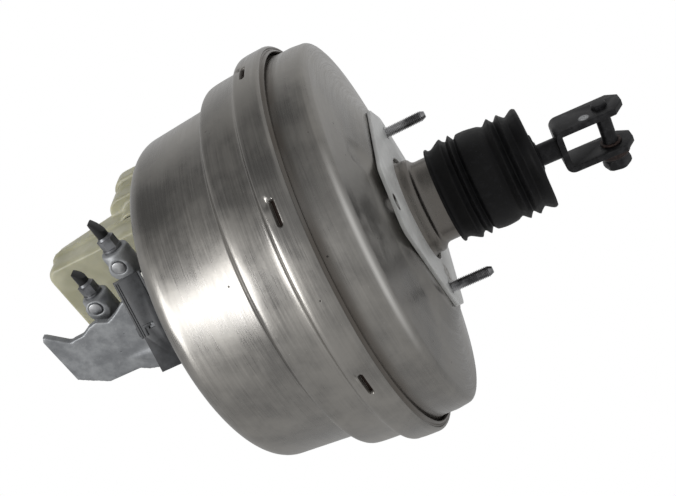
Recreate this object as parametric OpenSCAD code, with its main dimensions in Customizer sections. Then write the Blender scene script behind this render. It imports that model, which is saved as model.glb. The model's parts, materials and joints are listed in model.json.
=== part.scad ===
// Tandem vacuum brake booster with master cylinder, reservoir and pedal rod.
// X runs rearwards along the booster axis, Z is up, Y points to the vehicle's side.
// The origin is on the axis at the flat rear face that bolts to the bulkhead.

/* [Booster shells] */
// Thickness of the pressed shells
shell_t = 1.8; // [1.5:0.1:2.2]
// Depth of the booster, front face to rear face
drum_len = 160; // [158:1:164]
// Outer radius of the lanced flange
flange_r = 150.2; // [135:0.1:170]
// Length of the lanced flange
flange_len = 15; // [13:0.5:17]
// How far the wide band ahead of the flange lies inside it
band_step = 8.2; // [7:0.1:9.5]
// Length of the wide band
band_len = 33; // [29:0.5:37]
// How far the front corner lies inside the wide band
front_step = 13; // [11:0.5:15]
// How far the rear shell's side wall lies inside the flange
rear_step = 9.2; // [8:0.1:10.5]
// Number of crimping lances in the flange
lance_count = 8; // [6:1:12]
// Length of a lance slot along the rim
lance_len = 17; // [10:1:22]
// Width of a lance slot
lance_w = 3; // [2:0.5:4]
// Room between the valve body's tube and the neck's outer face
neck_gap = 7; // [6:0.1:8]
// Length of the rear neck
neck_len = 28; // [26:0.5:30]

/* [Rear mounting] */
// Thread diameter of the mounting studs
stud_d = 8; // [6:1:10]
// Distance between the two rear studs
rear_pcd = 124.4; // [118:0.5:130]
// Length that a rear stud stands out of the rear face
rear_stud_len = 34; // [25:1:45]
// Thickness of the mounting gasket
gasket_t = 2.5; // [1.5:0.5:4]
// Gap between the foot of the neck and the gasket's centre hole
gasket_gap = 0.1; // [0.1:0.1:2]
// Distance of the gasket's spare holes from the axis, square to the studs
spare_hole_r = 67; // [62:0.5:72]

/* [Servo piston] */
// Outer radius of the valve body's rear tube
tube_r = 24; // [23:0.5:25]
// Outer radius of the valve body where it passes the divider
hub_r = 27; // [26:0.5:28]
// Bore radius that guides the air valve plunger
plunger_bore_r = 9; // [8:0.5:10]
// Wall of the support plates
plate_t = 1.5; // [1:0.1:2]
// Wall of the rubber diaphragms
rubber_t = 1.3; // [1:0.1:1.5]
// Running clearance of sliding fits
run_gap = 0.06; // [0.03:0.01:0.09]
// Clearance between pieces that stay apart
air_gap = 0.3; // [0.2:0.05:0.4]
// Wire of the main return spring
return_wire = 3.6; // [3:0.1:4]

/* [Pedal rod] */
// Radius of the rod's ball
ball_r = 7; // [6:0.5:7.5]
// Radius of the rod inside the boot
rod_r = 5; // [4.5:0.5:5.5]
// Radius of the rod's thick rear end
rod_end_r = 7.8; // [7:0.1:9]
// Angle at which the free rod hangs
rod_yaw = 2; // [0:0.5:2.5]
// Length of bare rod between the boot and the clevis
bare_len = 12; // [9:0.5:16]
// Length of the clevis from web to nose
clevis_len = 49; // [44:1:54]
// Height of the clevis strap
clevis_h = 24; // [20:1:28]
// Thickness of the clevis strap
clevis_t = 4.5; // [3.5:0.5:6]
// Gap between the clevis ears
clevis_gap = 25; // [20:1:28]
// Distance of the pivot bolt from the clevis web
pivot_reach = 34.5; // [30:0.5:36]
// Radius of the pivot bolt's shank
pivot_r = 5; // [4:0.5:5.5]

/* [Boot] */
// Length of the boot
boot_len = 69.4; // [62:0.2:78]
// How far the boot's folds stand out from the neck
fold_h = 7.3; // [6:0.1:9]
// Wall of the boot's rubber
boot_t = 1.6; // [1.2:0.1:2]

/* [Master cylinder] */
// Bore radius of the master cylinder
bore_r = 12.7; // [11.1:0.1:13.5]
// Outer radius of the cylinder casting
cast_r = 22; // [20.5:0.5:23]
// Front end of the casting, ahead of the booster's face
cast_len = 104; // [102:1:108]
// Distance between the mounting bolts of the casting
front_pcd = 82; // [78:1:86]
// Thickness of the casting's mounting flange
cast_flange_t = 12; // [10:0.5:13]
// Radius of the two outlet bosses
outlet_r = 11; // [10:0.5:12]
// Thickness of the wing plate under the casting
wing_t = 6; // [4:0.5:8]

/* [Reservoir] */
// Wall of the moulded reservoir
tank_t = 2.4; // [1.8:0.1:3]
// Height of the reservoir's underside above the axis
tank_z = 47; // [45:0.5:50]
// Height of the weld seam above the underside
seam_h = 24; // [20:1:28]
// Height of the filler tower above the weld seam
tower_h = 67; // [60:1:75]
// Radius of the filler neck
filler_r = 21; // [18:0.5:24]
// Radius of the two outlet spigots
spigot_r = 7; // [6:0.5:8]

/* [Connector housing] */
// Length of the black housing
housing_len = 73; // [60:1:80]
// Width of the housing along the axis
housing_w = 23; // [18:1:24]
// Depth of the housing
housing_d = 13; // [10:0.5:14]

/* [Hidden] */
$fn = 96;
eps = 0.01;

// Stations along the axis, all measured from the rear mounting face
front_x = -drum_len;
flange_rear_x = -42;
flange_front_x = flange_rear_x - flange_len;
step_x = flange_front_x - band_len;
band_r = flange_r - band_step;
front_r = band_r - front_step;
rear_r = flange_r - rear_step;
corner_r = 16;
neck_r = tube_r + neck_gap;
foot_r = neck_r + 8.5;
gasket_hole_r = foot_r + gasket_gap;
boot_r = neck_r + fold_h;
pad_r = rear_pcd / 2 + 12.8;
boot_front_x = neck_len - 4.5;
boot_end_x = boot_front_x + boot_len;
ball_x = 12;
tube_rear_x = 60;
flange_hub_x = -14.2;
divider_x = -60;
disc_x = -86;
disc_t = 6;
hub_front_x = -98;
front_plate_x = -70;
key_t = 3;
seat_x = 17;
retainer_x = 30.2;
collar_x = 44;
reinforce_t = 3;
mount_hole_r = stud_d / 2 + 0.15;
shank_r = stud_d / 2 + 0.5;
shank_hole_r = shank_r + 0.15;
shank_x = gasket_t + 0.2;
front_reinforce_r = front_pcd / 2 + 21;
rear_reinforce_r = rear_pcd / 2 + 10.8;
front_plate_r = front_r - 19;
rear_plate_r = rear_r - 11;
pilot_len = 18;
cast_front_x = front_x - cast_len;
outlet_x = [front_x - 47.5, front_x - 84.5];
outlet_end = [-78, -52];
spigot_x = [front_x - 38, front_x - 72];
plug_back = [11, 7];
socket_len = 14;
clevis_x = boot_end_x + 3.1 + bare_len;
pivot_x = clevis_x + pivot_reach;
ear_y = clevis_gap / 2 + clevis_t;
bush_r = 11;
bush_t = 5;
washer_t = 1.6;
tank_front_x = front_x - 138;
tank_rear_x = front_x - 26;
tank_y = [-64, 38];
tower_x = [front_x - 76, front_x - 28];
tower_y = [-74, 2];
tower_z = tank_z + seam_h + tower_h;
filler_pos = [(tower_x[0] + tower_x[1]) / 2, (tower_y[0] + tower_y[1]) / 2];
seam_z = tank_z + seam_h + 0.02;
float_x = tank_front_x + 40;
float_post_r = 4;
valve_r = (front_reinforce_r + front_r - corner_r) / 2;
valve_pos = valve_r * [cos(43), sin(43)];

// An arc as a list of [radius, station] points
function arc(r, x, rad, a0, a1, n) =
    [for (i = [0:n]) [r + rad * cos(a0 + (a1 - a0) * i / n), x + rad * sin(a0 + (a1 - a0) * i / n)]];

// Unit vector square to the run from a to b
function normal(a, b) = let (d = b - a) [-d[1], d[0]] / norm(d);

// Point i of a path, moved square to the path by t with a mitred corner
function shifted(p, i, t) =
    let (
        n = len(p),
        n0 = i > 0 ? normal(p[i - 1], p[i]) : normal(p[0], p[1]),
        n1 = i < n - 1 ? normal(p[i], p[i + 1]) : normal(p[n - 2], p[n - 1]),
        m = n0 + n1
    ) p[i] + m * (2 * t / (m * m));

// The section of a sheet that follows a path on one face and is t thick
function sheet(p, t) =
    concat(p, [for (i = [len(p) - 1:-1:0]) shifted(p, i, t)]);

// Turns a section of [radius, station] points about the X axis
module turned(section) {
    rotate([0, 90, 0]) rotate_extrude() polygon(section);
}

// A plain ring about the X axis
module ring(x0, x1, r_out, r_in) {
    turned([[r_in, x0], [r_out, x0], [r_out, x1], [r_in, x1]]);
}

// A plain bar along X
module bar(x0, x1, r) {
    translate([x0, 0, 0]) rotate([0, 90, 0]) cylinder(h = x1 - x0, r = r);
}

// A hexagonal prism along X, size across flats
module hex_bar(x0, x1, flats) {
    translate([x0, 0, 0]) rotate([0, 90, 0]) cylinder(h = x1 - x0, d = flats / cos(30), $fn = 6);
}

// Places children on the two rear studs, along the falling diagonal
module at_rear_studs() {
    for (s = [-1, 1]) rotate([s > 0 ? -45 : 135, 0, 0]) translate([0, rear_pcd / 2, 0]) children();
}

// Places children on the two front studs
module at_front_studs() {
    for (s = [-1, 1]) rotate([s > 0 ? -45 : 135, 0, 0]) translate([0, front_pcd / 2, 0]) children();
}

// Swings the pedal rod's pieces about the centre of the ball
module on_rod() {
    translate([ball_x, 0, 0]) rotate([0, 0, rod_yaw]) translate([-ball_x, 0, 0]) children();
}

// Ring of points at turn angle a of a coil of mean radius r, rise p a turn and wire radius w
function coil_ring(a, r, p, w, sides) =
    [for (j = [0:sides - 1]) let (q = 360 * j / sides, rr = r + w * cos(q))
        [p * a / 360 + w * sin(q), rr * cos(a), rr * sin(a)]];

// A compression spring along X from x0 to x1
module coil(x0, x1, r, wire, turns, steps = 16, sides = 6) {
    w = wire / 2;
    rise = (x1 - x0 - wire) / turns;
    count = turns * steps;
    points = [for (i = [0:count]) each coil_ring(360 * i / steps, r, rise, w, sides)];
    walls = [for (i = [0:count - 1], j = [0:sides - 1])
        let (k = (j + 1) % sides, a = i * sides, b = a + sides)
        each [[a + j, b + k, a + k], [a + j, b + j, b + k]]];
    ends = [[for (j = [0:sides - 1]) j], [for (j = [sides - 1:-1:0]) count * sides + j]];
    translate([x0 + w, 0, 0]) polyhedron(points, concat(walls, ends));
}

// Outer face of the front shell, from its centre hole to its rolled rear edge
front_path = concat(
    [[cast_r + 1.5, front_x]],
    arc(front_r - corner_r, front_x + corner_r, corner_r, -90, 0, 6),
    [
        [front_r + 0.22 * front_step, step_x - 12], [front_r + 0.32 * front_step, step_x - 7.5],
        [front_r + 0.48 * front_step, step_x - 4.5], [front_r + 0.7 * front_step, step_x - 1],
        [front_r + 0.92 * front_step, step_x + 3], [band_r, step_x + 7],
        [band_r + 1, flange_front_x - 12], [band_r + 2.2, flange_front_x - 7.5],
        [flange_r - 3.5, flange_front_x - 3.5], [flange_r - 0.5, flange_front_x],
        [flange_r, flange_front_x + 2], [flange_r, flange_rear_x - 1.5],
        [flange_r - 0.8, flange_rear_x + 0.6], [flange_r - 2.4, flange_rear_x + 2],
        [rear_r + 3.4, flange_rear_x + 2.6]
    ]
);

// Radius on the rear shell's sloping face, a share k of the way from its flat pad to its wall
function slope(k) = pad_r + k * (rear_r - pad_r);

// Outer face of the rear shell, from its clamped rim to the end of its neck
rear_path = concat(
    [
        [flange_r - shell_t - 0.4, flange_rear_x - 1.4], [rear_r + 3, flange_rear_x - 1.4],
        [rear_r + 0.8, flange_rear_x + 1], [rear_r, flange_rear_x + 5]
    ],
    [
        [rear_r, -20], [rear_r - 0.8, -17.2], [rear_r - 2.8, -15], [slope(0.89), -13.2],
        [slope(0.73), -11.3], [slope(0.47), -8.4], [slope(0.27), -5.6], [slope(0.12), -2.2],
        [slope(0.06), -0.6], [pad_r, 0]
    ],
    [
        [foot_r, 0], [neck_r + 6.3, 0.6], [neck_r + 5, 2], [neck_r + 4.5, 4],
        [neck_r + 4.5, 8.2], [neck_r + 3.6, 10], [neck_r + 1.6, 11.2], [neck_r + 0.4, 12.6],
        [neck_r, 14.5], [neck_r, neck_len - 1], [neck_r - 1, neck_len], [neck_r - 2.5, neck_len]
    ]
);

// Outer face of the centre divider, from its clamped rim to its hub
divider_path = [
    [flange_r - shell_t - 0.6, flange_front_x + 2], [band_r - 2.4, flange_front_x + 2],
    [band_r - 2.4, step_x + 6], [band_r - 4, step_x + 2.6], [band_r - 8, step_x + 1.5],
    [band_r - 13, step_x + 2.2], [band_r - 15, step_x + 5], [band_r - 20, divider_x - 4],
    [band_r - 26, divider_x], [hub_r + 8, divider_x], [hub_r + 6.5, divider_x + 1],
    [hub_r + 6.5, divider_x + 7]
];

// Station a share k of the way along the boot
function fold(k) = boot_front_x + k * boot_len;

// Outer face of the boot: its lip on the neck, then each peak and valley
boot_path = [
    [neck_r + 4.6, boot_front_x], [neck_r + 4.6, boot_front_x + 1.6],
    [neck_r + 2.6, boot_front_x + 2.6], [neck_r + 2.6, boot_front_x + 5],
    [boot_r - 0.6, fold(0.165)], [boot_r, fold(0.187)], [neck_r + 3.2, fold(0.238)],
    [boot_r, fold(0.281)], [neck_r + 2.6, fold(0.322)],
    [boot_r - 1.4, fold(0.358)], [boot_r - 1.2, fold(0.45)], [boot_r - 2.4, fold(0.585)],
    [neck_r + 3, fold(0.634)], [boot_r, fold(0.7)], [neck_r + 2.8, fold(0.748)],
    [boot_r - 0.3, fold(0.807)], [neck_r + 2.8, fold(0.87)],
    [boot_r - 0.6, fold(0.96)], [boot_r - 1.4, fold(1)]
];

// Booster shells

module front_shell() {
    color([0.68, 0.68, 0.67]) difference() {
        turned(sheet(front_path, shell_t));
        lance_slots();
        at_front_studs() bar(front_x - 1, front_x + 5, mount_hole_r);
        translate([0, valve_pos[0], valve_pos[1]]) bar(front_x - 1, front_x + 5, 11);
        housing_bolt_place() bar(front_x - 1, front_x + 5, 3.15);
    }
    color([0.68, 0.68, 0.67]) lance_tongues();
}

// Slots through the flange, each a slit with round ends
module lance_slots() {
    for (i = [0:lance_count - 1]) rotate([-87 + 360 * i / lance_count, 0, 0])
        translate([flange_rear_x - 10.5, flange_r - 4, 0]) rotate([-90, 0, 0]) linear_extrude(8)
            for (s = [0, 1]) {
                square([lance_w, lance_len - lance_w], center = true);
                translate([0, (s - 0.5) * (lance_len - lance_w)]) circle(d = lance_w, $fn = 24);
            }
}

// Tongues pressed inwards behind each slot, which hold the rear shell's rim
module lance_tongues() {
    for (i = [0:lance_count - 1]) rotate([-87 + 360 * i / lance_count, 0, 0])
        translate([flange_rear_x - 7.2, flange_r - shell_t - 1.3, -lance_len / 2 + 2])
            cube([2.4, 1.6, lance_len - 4]);
}

module rear_shell() {
    color([0.7, 0.69, 0.67]) difference() {
        turned(sheet(rear_path, shell_t));
        at_rear_studs() bar(-6, 6, shank_hole_r);
    }
}

module front_reinforcement() {
    x = front_x + shell_t;
    color([0.5, 0.5, 0.5]) difference() {
        ring(x, x + reinforce_t, front_reinforce_r, cast_r + 1.5);
        at_front_studs() bar(x - 1, x + reinforce_t + 1, mount_hole_r);
    }
}

module rear_reinforcement() {
    x = -shell_t - reinforce_t;
    color([0.5, 0.5, 0.5]) difference() {
        ring(x, -shell_t, rear_reinforce_r, foot_r + 0.5);
        at_rear_studs() bar(x - 1, 0, shank_hole_r);
    }
}

module divider_plate() {
    color([0.62, 0.62, 0.6]) turned(sheet(divider_path, -plate_t));
}

module divider_seal() {
    color([0.1, 0.1, 0.1]) turned([
        [hub_r + run_gap, divider_x - 1.5], [hub_r + 7.5, divider_x - 1.5], [hub_r + 7.5, divider_x - 0.1],
        [hub_r + 6.4, divider_x - 0.1], [hub_r + 6.4, divider_x + 7], [hub_r + run_gap, divider_x + 7]
    ]);
}

// Rubber and plates of the servo piston

// Front face of the front plate, from its hub to the end of its skirt
front_plate_path = [
    [25.1, front_plate_x], [front_plate_r - 10, front_plate_x], [front_plate_r - 2, front_plate_x - 3],
    [front_plate_r, front_plate_x - 9], [front_plate_r, step_x - 3]
];

// The front diaphragm lies on that plate and rolls over to its bead
front_rubber_path = concat(
    [[hub_r + 2, front_plate_x + plate_t + 0.1]],
    [for (i = [1:3]) shifted(front_plate_path, i, plate_t + 0.1)],
    arc(front_plate_r + plate_t + 6.6, step_x - 5, 6.5, 180, 360, 8)
);

module front_diaphragm() {
    color([0.13, 0.13, 0.13]) {
        turned(sheet(front_rubber_path, rubber_t));
        ring(step_x - 6, step_x - 0.4, front_plate_r + 20, front_plate_r + 13.6);
    }
}

// Front face of the rear plate, from its hub to the end of its skirt
rear_plate_path = [
    [hub_r + 0.1, flange_hub_x - plate_t], [45, flange_hub_x - plate_t], [52, -20], [rear_plate_r - 6, -20],
    [rear_plate_r - 2, -22], [rear_plate_r - plate_t, -26], [rear_plate_r - plate_t, flange_rear_x - 2]
];

// The rear diaphragm lies on that plate and rolls over to its bead
rear_rubber_path = concat(
    [[hub_r + 10.3, flange_hub_x + 0.1]],
    [for (i = [1:5]) shifted(rear_plate_path, i, plate_t + 0.1)],
    arc(rear_plate_r + 3.3, flange_rear_x - 4, 3.2, 180, 360, 8),
    [[rear_plate_r + 11, flange_rear_x - 4]]
);

module rear_diaphragm() {
    color([0.13, 0.13, 0.13]) {
        turned(sheet(rear_rubber_path, rubber_t));
        ring(flange_front_x + 3.7, flange_rear_x - 3.3, flange_r - shell_t - 1.6, rear_plate_r + 10.5);
    }
}

module front_support_plate() {
    color([0.72, 0.72, 0.7]) turned(sheet(front_plate_path, plate_t));
}

module rear_support_plate() {
    color([0.72, 0.72, 0.7]) turned(sheet(rear_plate_path, plate_t));
}

module plate_retainer() {
    color([0.45, 0.45, 0.45]) difference() {
        ring(front_plate_x - 4, front_plate_x - 0.05, 34, 25.1);
        for (i = [0:5]) rotate([60 * i, 0, 0])
            translate([front_plate_x - 5, 31, 0]) cube([6, 8, 5], center = true);
    }
}

// Moulded hub with the valve bore, the key slot and the air channels
module valve_body() {
    color([0.16, 0.16, 0.17]) difference() {
        turned([
            [0, hub_front_x], [25, hub_front_x], [25, front_plate_x + plate_t + 0.05],
            [hub_r, front_plate_x + plate_t + 0.05], [hub_r, flange_hub_x],
            [hub_r + 9, flange_hub_x], [hub_r + 9, flange_hub_x + 6], [tube_r, flange_hub_x + 6],
            [tube_r, tube_rear_x], [0, tube_rear_x]
        ]);
        bar(hub_front_x - 1, disc_x, 14);
        bar(disc_x - 1, ball_x - 8, plunger_bore_r);
        bar(ball_x - 8, seat_x + 1, 11.6);
        bar(seat_x, tube_rear_x + 1, 19);
        translate([-key_t - 0.15, -tube_r - 1, -9.15]) cube([key_t + 0.3, 2 * tube_r + 2, 18.3]);
        for (a = [45, 225]) rotate([a, 0, 0]) translate([-60, 15.5, 0]) bar(0, 80, 2.2);
    }
}

// Fork that straddles the plunger's neck and stops the piston on the neck seal
module stop_key() {
    color([0.55, 0.55, 0.55]) difference() {
        translate([-key_t, -29, -9]) cube([key_t, 58, 18]);
        translate([-key_t - 1, -30, -5.9]) cube([key_t + 2, 36.5, 11.8]);
    }
}

module air_valve_plunger() {
    r = plunger_bore_r - run_gap;
    color([0.6, 0.6, 0.58]) difference() {
        turned([
            [0, disc_x + 1.4], [r - 1, disc_x + 1.4], [r, disc_x + 2.4], [r, -key_t - 0.2],
            [5.5, -key_t - 0.2], [5.5, 1.2], [r, 1.2], [r, ball_x - 6.6], [11, ball_x - 6.6],
            [11, seat_x], [0, seat_x]
        ]);
        translate([ball_x, 0, 0]) sphere(r = ball_r + 0.05);
        bar(ball_x, seat_x + 1, ball_r - 0.4);
    }
}

module reaction_disc() {
    color([0.12, 0.12, 0.12]) bar(disc_x - disc_t, disc_x - 0.02, 13.95);
}

module output_rod() {
    color([0.66, 0.62, 0.5]) turned([
        [0, front_x - 2], [4, front_x - 2], [5.5, front_x], [5.5, hub_front_x - 1], [8, hub_front_x],
        [13.95, hub_front_x], [13.95, disc_x - disc_t - 0.05], [0, disc_x - disc_t - 0.05]
    ]);
}

module poppet_valve() {
    color([0.1, 0.1, 0.1]) turned([
        [9.2, seat_x + 0.2], [16.5, seat_x + 0.2], [16.5, seat_x + 2], [14, seat_x + 2.6],
        [13.4, seat_x + 6], [14, retainer_x - 3.2],
        [18.8, retainer_x - 3], [18.8, retainer_x - 0.1], [12.4, retainer_x - 0.1],
        [12.2, seat_x + 6], [12, seat_x + 2.4], [9.2, seat_x + 2]
    ]);
}

module poppet_spring() {
    color([0.6, 0.6, 0.6]) coil(seat_x + 2.3, retainer_x - 3.3, 16.3, 1, 4, 14);
}

module poppet_retainer() {
    color([0.6, 0.58, 0.5]) ring(retainer_x, retainer_x + 1.6, 18.9, 8.6);
}

module rod_spring() {
    color([0.6, 0.6, 0.6]) coil(retainer_x + 1.75, collar_x - 0.4, 11, 1.6, 4, 14);
}

module air_filter() {
    color([0.3, 0.3, 0.29]) ring(collar_x + 5, tube_rear_x - 0.5, 18.8, rod_r + 3.4);
}

module neck_seal() {
    color([0.1, 0.1, 0.1]) turned([
        [tube_r + run_gap, 0.3], [neck_r + 0.5, 0.3], [neck_r + 2, 3], [neck_r + 2, 7.5],
        [neck_r - 1.6, 10.5], [tube_r + 2, 10.5], [tube_r + 2, 6], [tube_r + run_gap, 6]
    ]);
}

module neck_bearing() {
    color([0.75, 0.74, 0.7]) ring(14.5, 21.5, neck_r - shell_t - run_gap, tube_r + run_gap);
}

module return_spring() {
    color([0.35, 0.36, 0.37])
        coil(front_x + shell_t + reinforce_t + 0.05, front_plate_x - 4.1, 29.5, return_wire, 6, 20, 8);
}

// Pedal rod, boot and clevis

module input_rod() {
    ball_rear = acos((rod_r - 0.8) / (ball_r - 0.05));
    color([0.16, 0.16, 0.17]) on_rod() turned(concat(
        arc(0, ball_x, ball_r - 0.05, -90, ball_rear, 14),
        [
            [rod_r - 0.8, seat_x + 4], [rod_r, seat_x + 6], [rod_r, collar_x], [12.5, collar_x],
            [12.5, collar_x + 2], [rod_r, collar_x + 2], [rod_r, boot_end_x - 9],
            [rod_end_r, boot_end_x - 6], [rod_end_r, clevis_x - 0.02], [rod_r, clevis_x - 0.02],
            [rod_r, clevis_x + clevis_t - 0.3], [0, clevis_x + clevis_t - 0.3]
        ]
    ));
}

// Bellows on the neck, closed at the back by a wall that grips the rod
module boot() {
    end_x = boot_end_x;
    color([0.07, 0.07, 0.075]) difference() {
        union() {
            turned(sheet(boot_path, boot_t));
            ring(boot_front_x, boot_front_x + 2.6, neck_r + 3.4, neck_r + 0.15);
            on_rod() turned([
                [rod_end_r + 0.3, end_x + 2.2], [rod_end_r + 3, end_x + 2.2], [rod_end_r + 5, end_x + 1.2],
                [boot_r - 3.2, end_x], [boot_r - 3.2, end_x - 1.9], [rod_end_r + 0.3, end_x - 0.6]
            ]);
        }
        on_rod() bar(end_x - 5, end_x + 5, rod_end_r + 0.25);
    }
}

// Strap bent to a U with chamfered ear ends
module clevis() {
    r = 6;
    color([0.12, 0.12, 0.125]) on_rod() difference() {
        translate([clevis_x, 0, 0]) intersection() {
            translate([0, 0, -clevis_h / 2]) linear_extrude(clevis_h) difference() {
                union() {
                    translate([r, -ear_y]) square([clevis_len - r, 2 * ear_y]);
                    translate([0, r - ear_y]) square([r + 1, 2 * (ear_y - r)]);
                    for (s = [-1, 1]) translate([r, s * (ear_y - r)]) circle(r = r, $fn = 48);
                }
                translate([clevis_t, -clevis_gap / 2]) square([clevis_len, clevis_gap]);
            }
            rotate([90, 0, 0]) linear_extrude(2 * ear_y + 2, center = true) polygon([
                [-1, -clevis_h / 2], [clevis_len - 7, -clevis_h / 2], [clevis_len, 3 - clevis_h / 4],
                [clevis_len, clevis_h / 4], [clevis_len - 7, clevis_h / 2], [-1, clevis_h / 2]
            ]);
        }
        translate([pivot_x, 0, 0]) rotate([90, 0, 0]) cylinder(h = 60, r = pivot_r + 0.1);
        translate([pivot_x, 0, 0]) rotate([-90, 0, 0]) cylinder(h = 60, r = pivot_r + 1.6);
        bar(clevis_x - 1, clevis_x + clevis_t + 1, rod_r + 0.02);
    }
}

module pivot_bolt() {
    head_y = ear_y + bush_t + washer_t + 0.1;
    color([0.13, 0.13, 0.13]) on_rod() translate([pivot_x, 0, 0]) {
        rotate([90, 0, 0]) cylinder(h = ear_y + 2, r = pivot_r);
        rotate([90, 0, 0]) translate([0, 0, ear_y + 2]) cylinder(h = 0.8, r1 = pivot_r, r2 = pivot_r - 0.8);
        rotate([-90, 0, 0]) cylinder(h = head_y, r = pivot_r);
        rotate([-90, 0, 0]) translate([0, 0, head_y]) intersection() {
            rotate([0, 0, 15]) cylinder(h = 7, d = 17 / cos(30), $fn = 6);
            cylinder(h = 9, r1 = 8.6, r2 = 12);
            cylinder(h = 7, r1 = 15, r2 = 9);
        }
    }
}

module pivot_bush() {
    color([0.28, 0.2, 0.16]) on_rod() translate([pivot_x, 0, 0]) rotate([-90, 0, 0]) difference() {
        union() {
            translate([0, 0, clevis_gap / 2 - 1.5]) cylinder(h = 1.45, r = pivot_r + 2.2);
            translate([0, 0, clevis_gap / 2 - 1]) cylinder(h = clevis_t + 2, r = pivot_r + 1.5);
            translate([0, 0, ear_y + 0.05]) cylinder(h = bush_t - 1.5, r = bush_r);
            translate([0, 0, ear_y + bush_t - 1.45]) cylinder(h = 1.5, r1 = bush_r, r2 = bush_r - 1.5);
        }
        translate([0, 0, clevis_gap / 2 - 3]) cylinder(h = 20, r = pivot_r + 0.05);
    }
}

module pivot_washer() {
    color([0.2, 0.2, 0.22]) on_rod() translate([pivot_x, 0, 0]) rotate([-90, 0, 0])
        translate([0, 0, ear_y + bush_t + 0.07]) difference() {
            cylinder(h = washer_t, r = 8.8);
            translate([0, 0, -1]) cylinder(h = washer_t + 2, r = pivot_r + 0.2);
        }
}

// Rear mounting

module mounting_gasket() {
    color([0.82, 0.82, 0.8]) difference() {
        translate([0.02, 0, 0]) rotate([90, 0, 90]) linear_extrude(gasket_t) gasket_outline();
        bar(-1, gasket_t + 1, gasket_hole_r);
        at_rear_studs() bar(-1, gasket_t + 1, shank_hole_r);
        for (a = [-45, 135]) rotate([a, 0, 0]) translate([0, 12, -spare_hole_r]) bar(-1, gasket_t + 1, 5);
    }
}

// Skewed plate: a narrow corner over each stud and a broad one over each spare hole
module gasket_outline() {
    hull() for (a = [-45, 135]) rotate(a) {
        translate([rear_pcd / 2, 0]) circle(r = 13.5, $fn = 32);
        translate([rear_pcd / 2 - 2, 26]) circle(r = 12, $fn = 32);
        for (x = [-8, 28]) translate([x, -spare_hole_r - 9]) circle(r = 8, $fn = 32);
    }
}

// Headed stud with a plain shank through the sheets and the gasket, and the thread beyond
module rear_studs() {
    x0 = -shell_t - reinforce_t;
    color([0.3, 0.3, 0.31]) at_rear_studs() turned([
        [0, x0 - 4], [7.5, x0 - 4], [7.5, x0 - 0.02], [shank_r, x0 - 0.02],
        [shank_r, shank_x], [stud_d / 2, shank_x], [stud_d / 2, rear_stud_len - 4],
        [stud_d / 2 - 1, rear_stud_len - 3], [stud_d / 2 - 1, rear_stud_len - 0.6], [stud_d / 2 - 1.5, rear_stud_len], [0, rear_stud_len]
    ]);
}

// Master cylinder

// Underside plate with its two wings, seen from above
wing_outline = [
    [front_x - 129, -48], [front_x - 131.5, -44], [front_x - 131.5, -1], [front_x - 111, 12.5],
    [front_x - 82, 13], [front_x - 76, 17], [front_x - 68, 19.5], [front_x - 58, 17],
    [front_x - 52, 12], [front_x - 30, 12], [front_x - 30, -12], [front_x - 54, -22],
    [front_x - 54, -44], [front_x - 58, -46], [front_x - 70, -39], [front_x - 78, -36],
    [front_x - 86, -40], [front_x - 93, -39], [front_x - 102, -34.5], [front_x - 114, -34]
];

module master_cylinder() {
    color([0.62, 0.62, 0.62]) difference() {
        union() {
            bar(cast_front_x, front_x - cast_flange_t, cast_r - 1);
            bar(front_x - cast_flange_t - eps, front_x + pilot_len, cast_r);
            translate([cast_front_x - 3, 0, 0]) bar(0, 4, cast_r - 4);
            cast_flange();
            translate([0, 0, -cast_r]) linear_extrude(wing_t) polygon(wing_outline);
            for (i = [0, 1]) outlet_boss(i);
            for (x = spigot_x) translate([x, 0, 0]) cylinder(h = tank_z - 13, r = 13.5);
            hull() {
                translate([front_x - 80, 2, 8 - cast_r]) sphere(r = 9, $fn = 32);
                translate([front_x - 62, 5, 10 - cast_r]) sphere(r = 12, $fn = 32);
            }
        }
        bar(cast_front_x + 7, front_x + pilot_len + 1, bore_r);
        bar(front_x + pilot_len - 3, front_x + pilot_len + 1, bore_r + 2.4);
        ring(front_x + 2, front_x + 5.2, cast_r + 1, cast_r - 1.6);
        at_front_studs() bar(front_x - cast_flange_t - 5, front_x + 1, mount_hole_r);
        for (i = [0, 1]) outlet_bore(i);
        for (x = spigot_x) {
            translate([x, 0, tank_z - 26]) cylinder(h = 20, r = spigot_r + 2.9);
            translate([x, 0, 0]) cylinder(h = 30, r = 2.5);
        }
        wing_slot();
    }
}

// Diamond flange with a round end over each stud
module cast_flange() {
    translate([front_x - cast_flange_t, 0, 0]) rotate([90, 0, 90]) linear_extrude(cast_flange_t) hull() {
        circle(r = cast_r + 7, $fn = 48);
        for (s = [-1, 1]) rotate(s > 0 ? -45 : 135) translate([front_pcd / 2, 0]) circle(r = 11, $fn = 32);
    }
}

// Boss i runs sideways to an outlet and carries a plugged drilling below
module outlet_boss(i) {
    end = outlet_end[i];
    translate([outlet_x[i], 0, 0]) {
        translate([0, end + 1.5, 0]) rotate([-90, 0, 0]) cylinder(h = -end - 1.5, r = outlet_r);
        translate([0, end, 0]) rotate([-90, 0, 0])
            cylinder(h = 1.5 + eps, r1 = outlet_r - 1.5, r2 = outlet_r);
        translate([0, end + plug_back[i], -outlet_r - 1]) cylinder(h = outlet_r, r = 7);
        translate([0, end + plug_back[i] + 3, -outlet_r]) cylinder(h = outlet_r, r = 9.5);
    }
}

module outlet_bore(i) {
    end = outlet_end[i];
    translate([outlet_x[i], 0, 0]) {
        translate([0, end - 1, 0]) rotate([-90, 0, 0]) cylinder(h = socket_len + 1, r = 5.05);
        translate([0, end, 0]) rotate([-90, 0, 0]) cylinder(h = -end, r = 2);
        translate([0, end + plug_back[i], -outlet_r - 2]) cylinder(h = 5, r = 5.05);
        translate([0, end + plug_back[i], -outlet_r - 2]) cylinder(h = outlet_r + 2, r = 2);
    }
}

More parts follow.
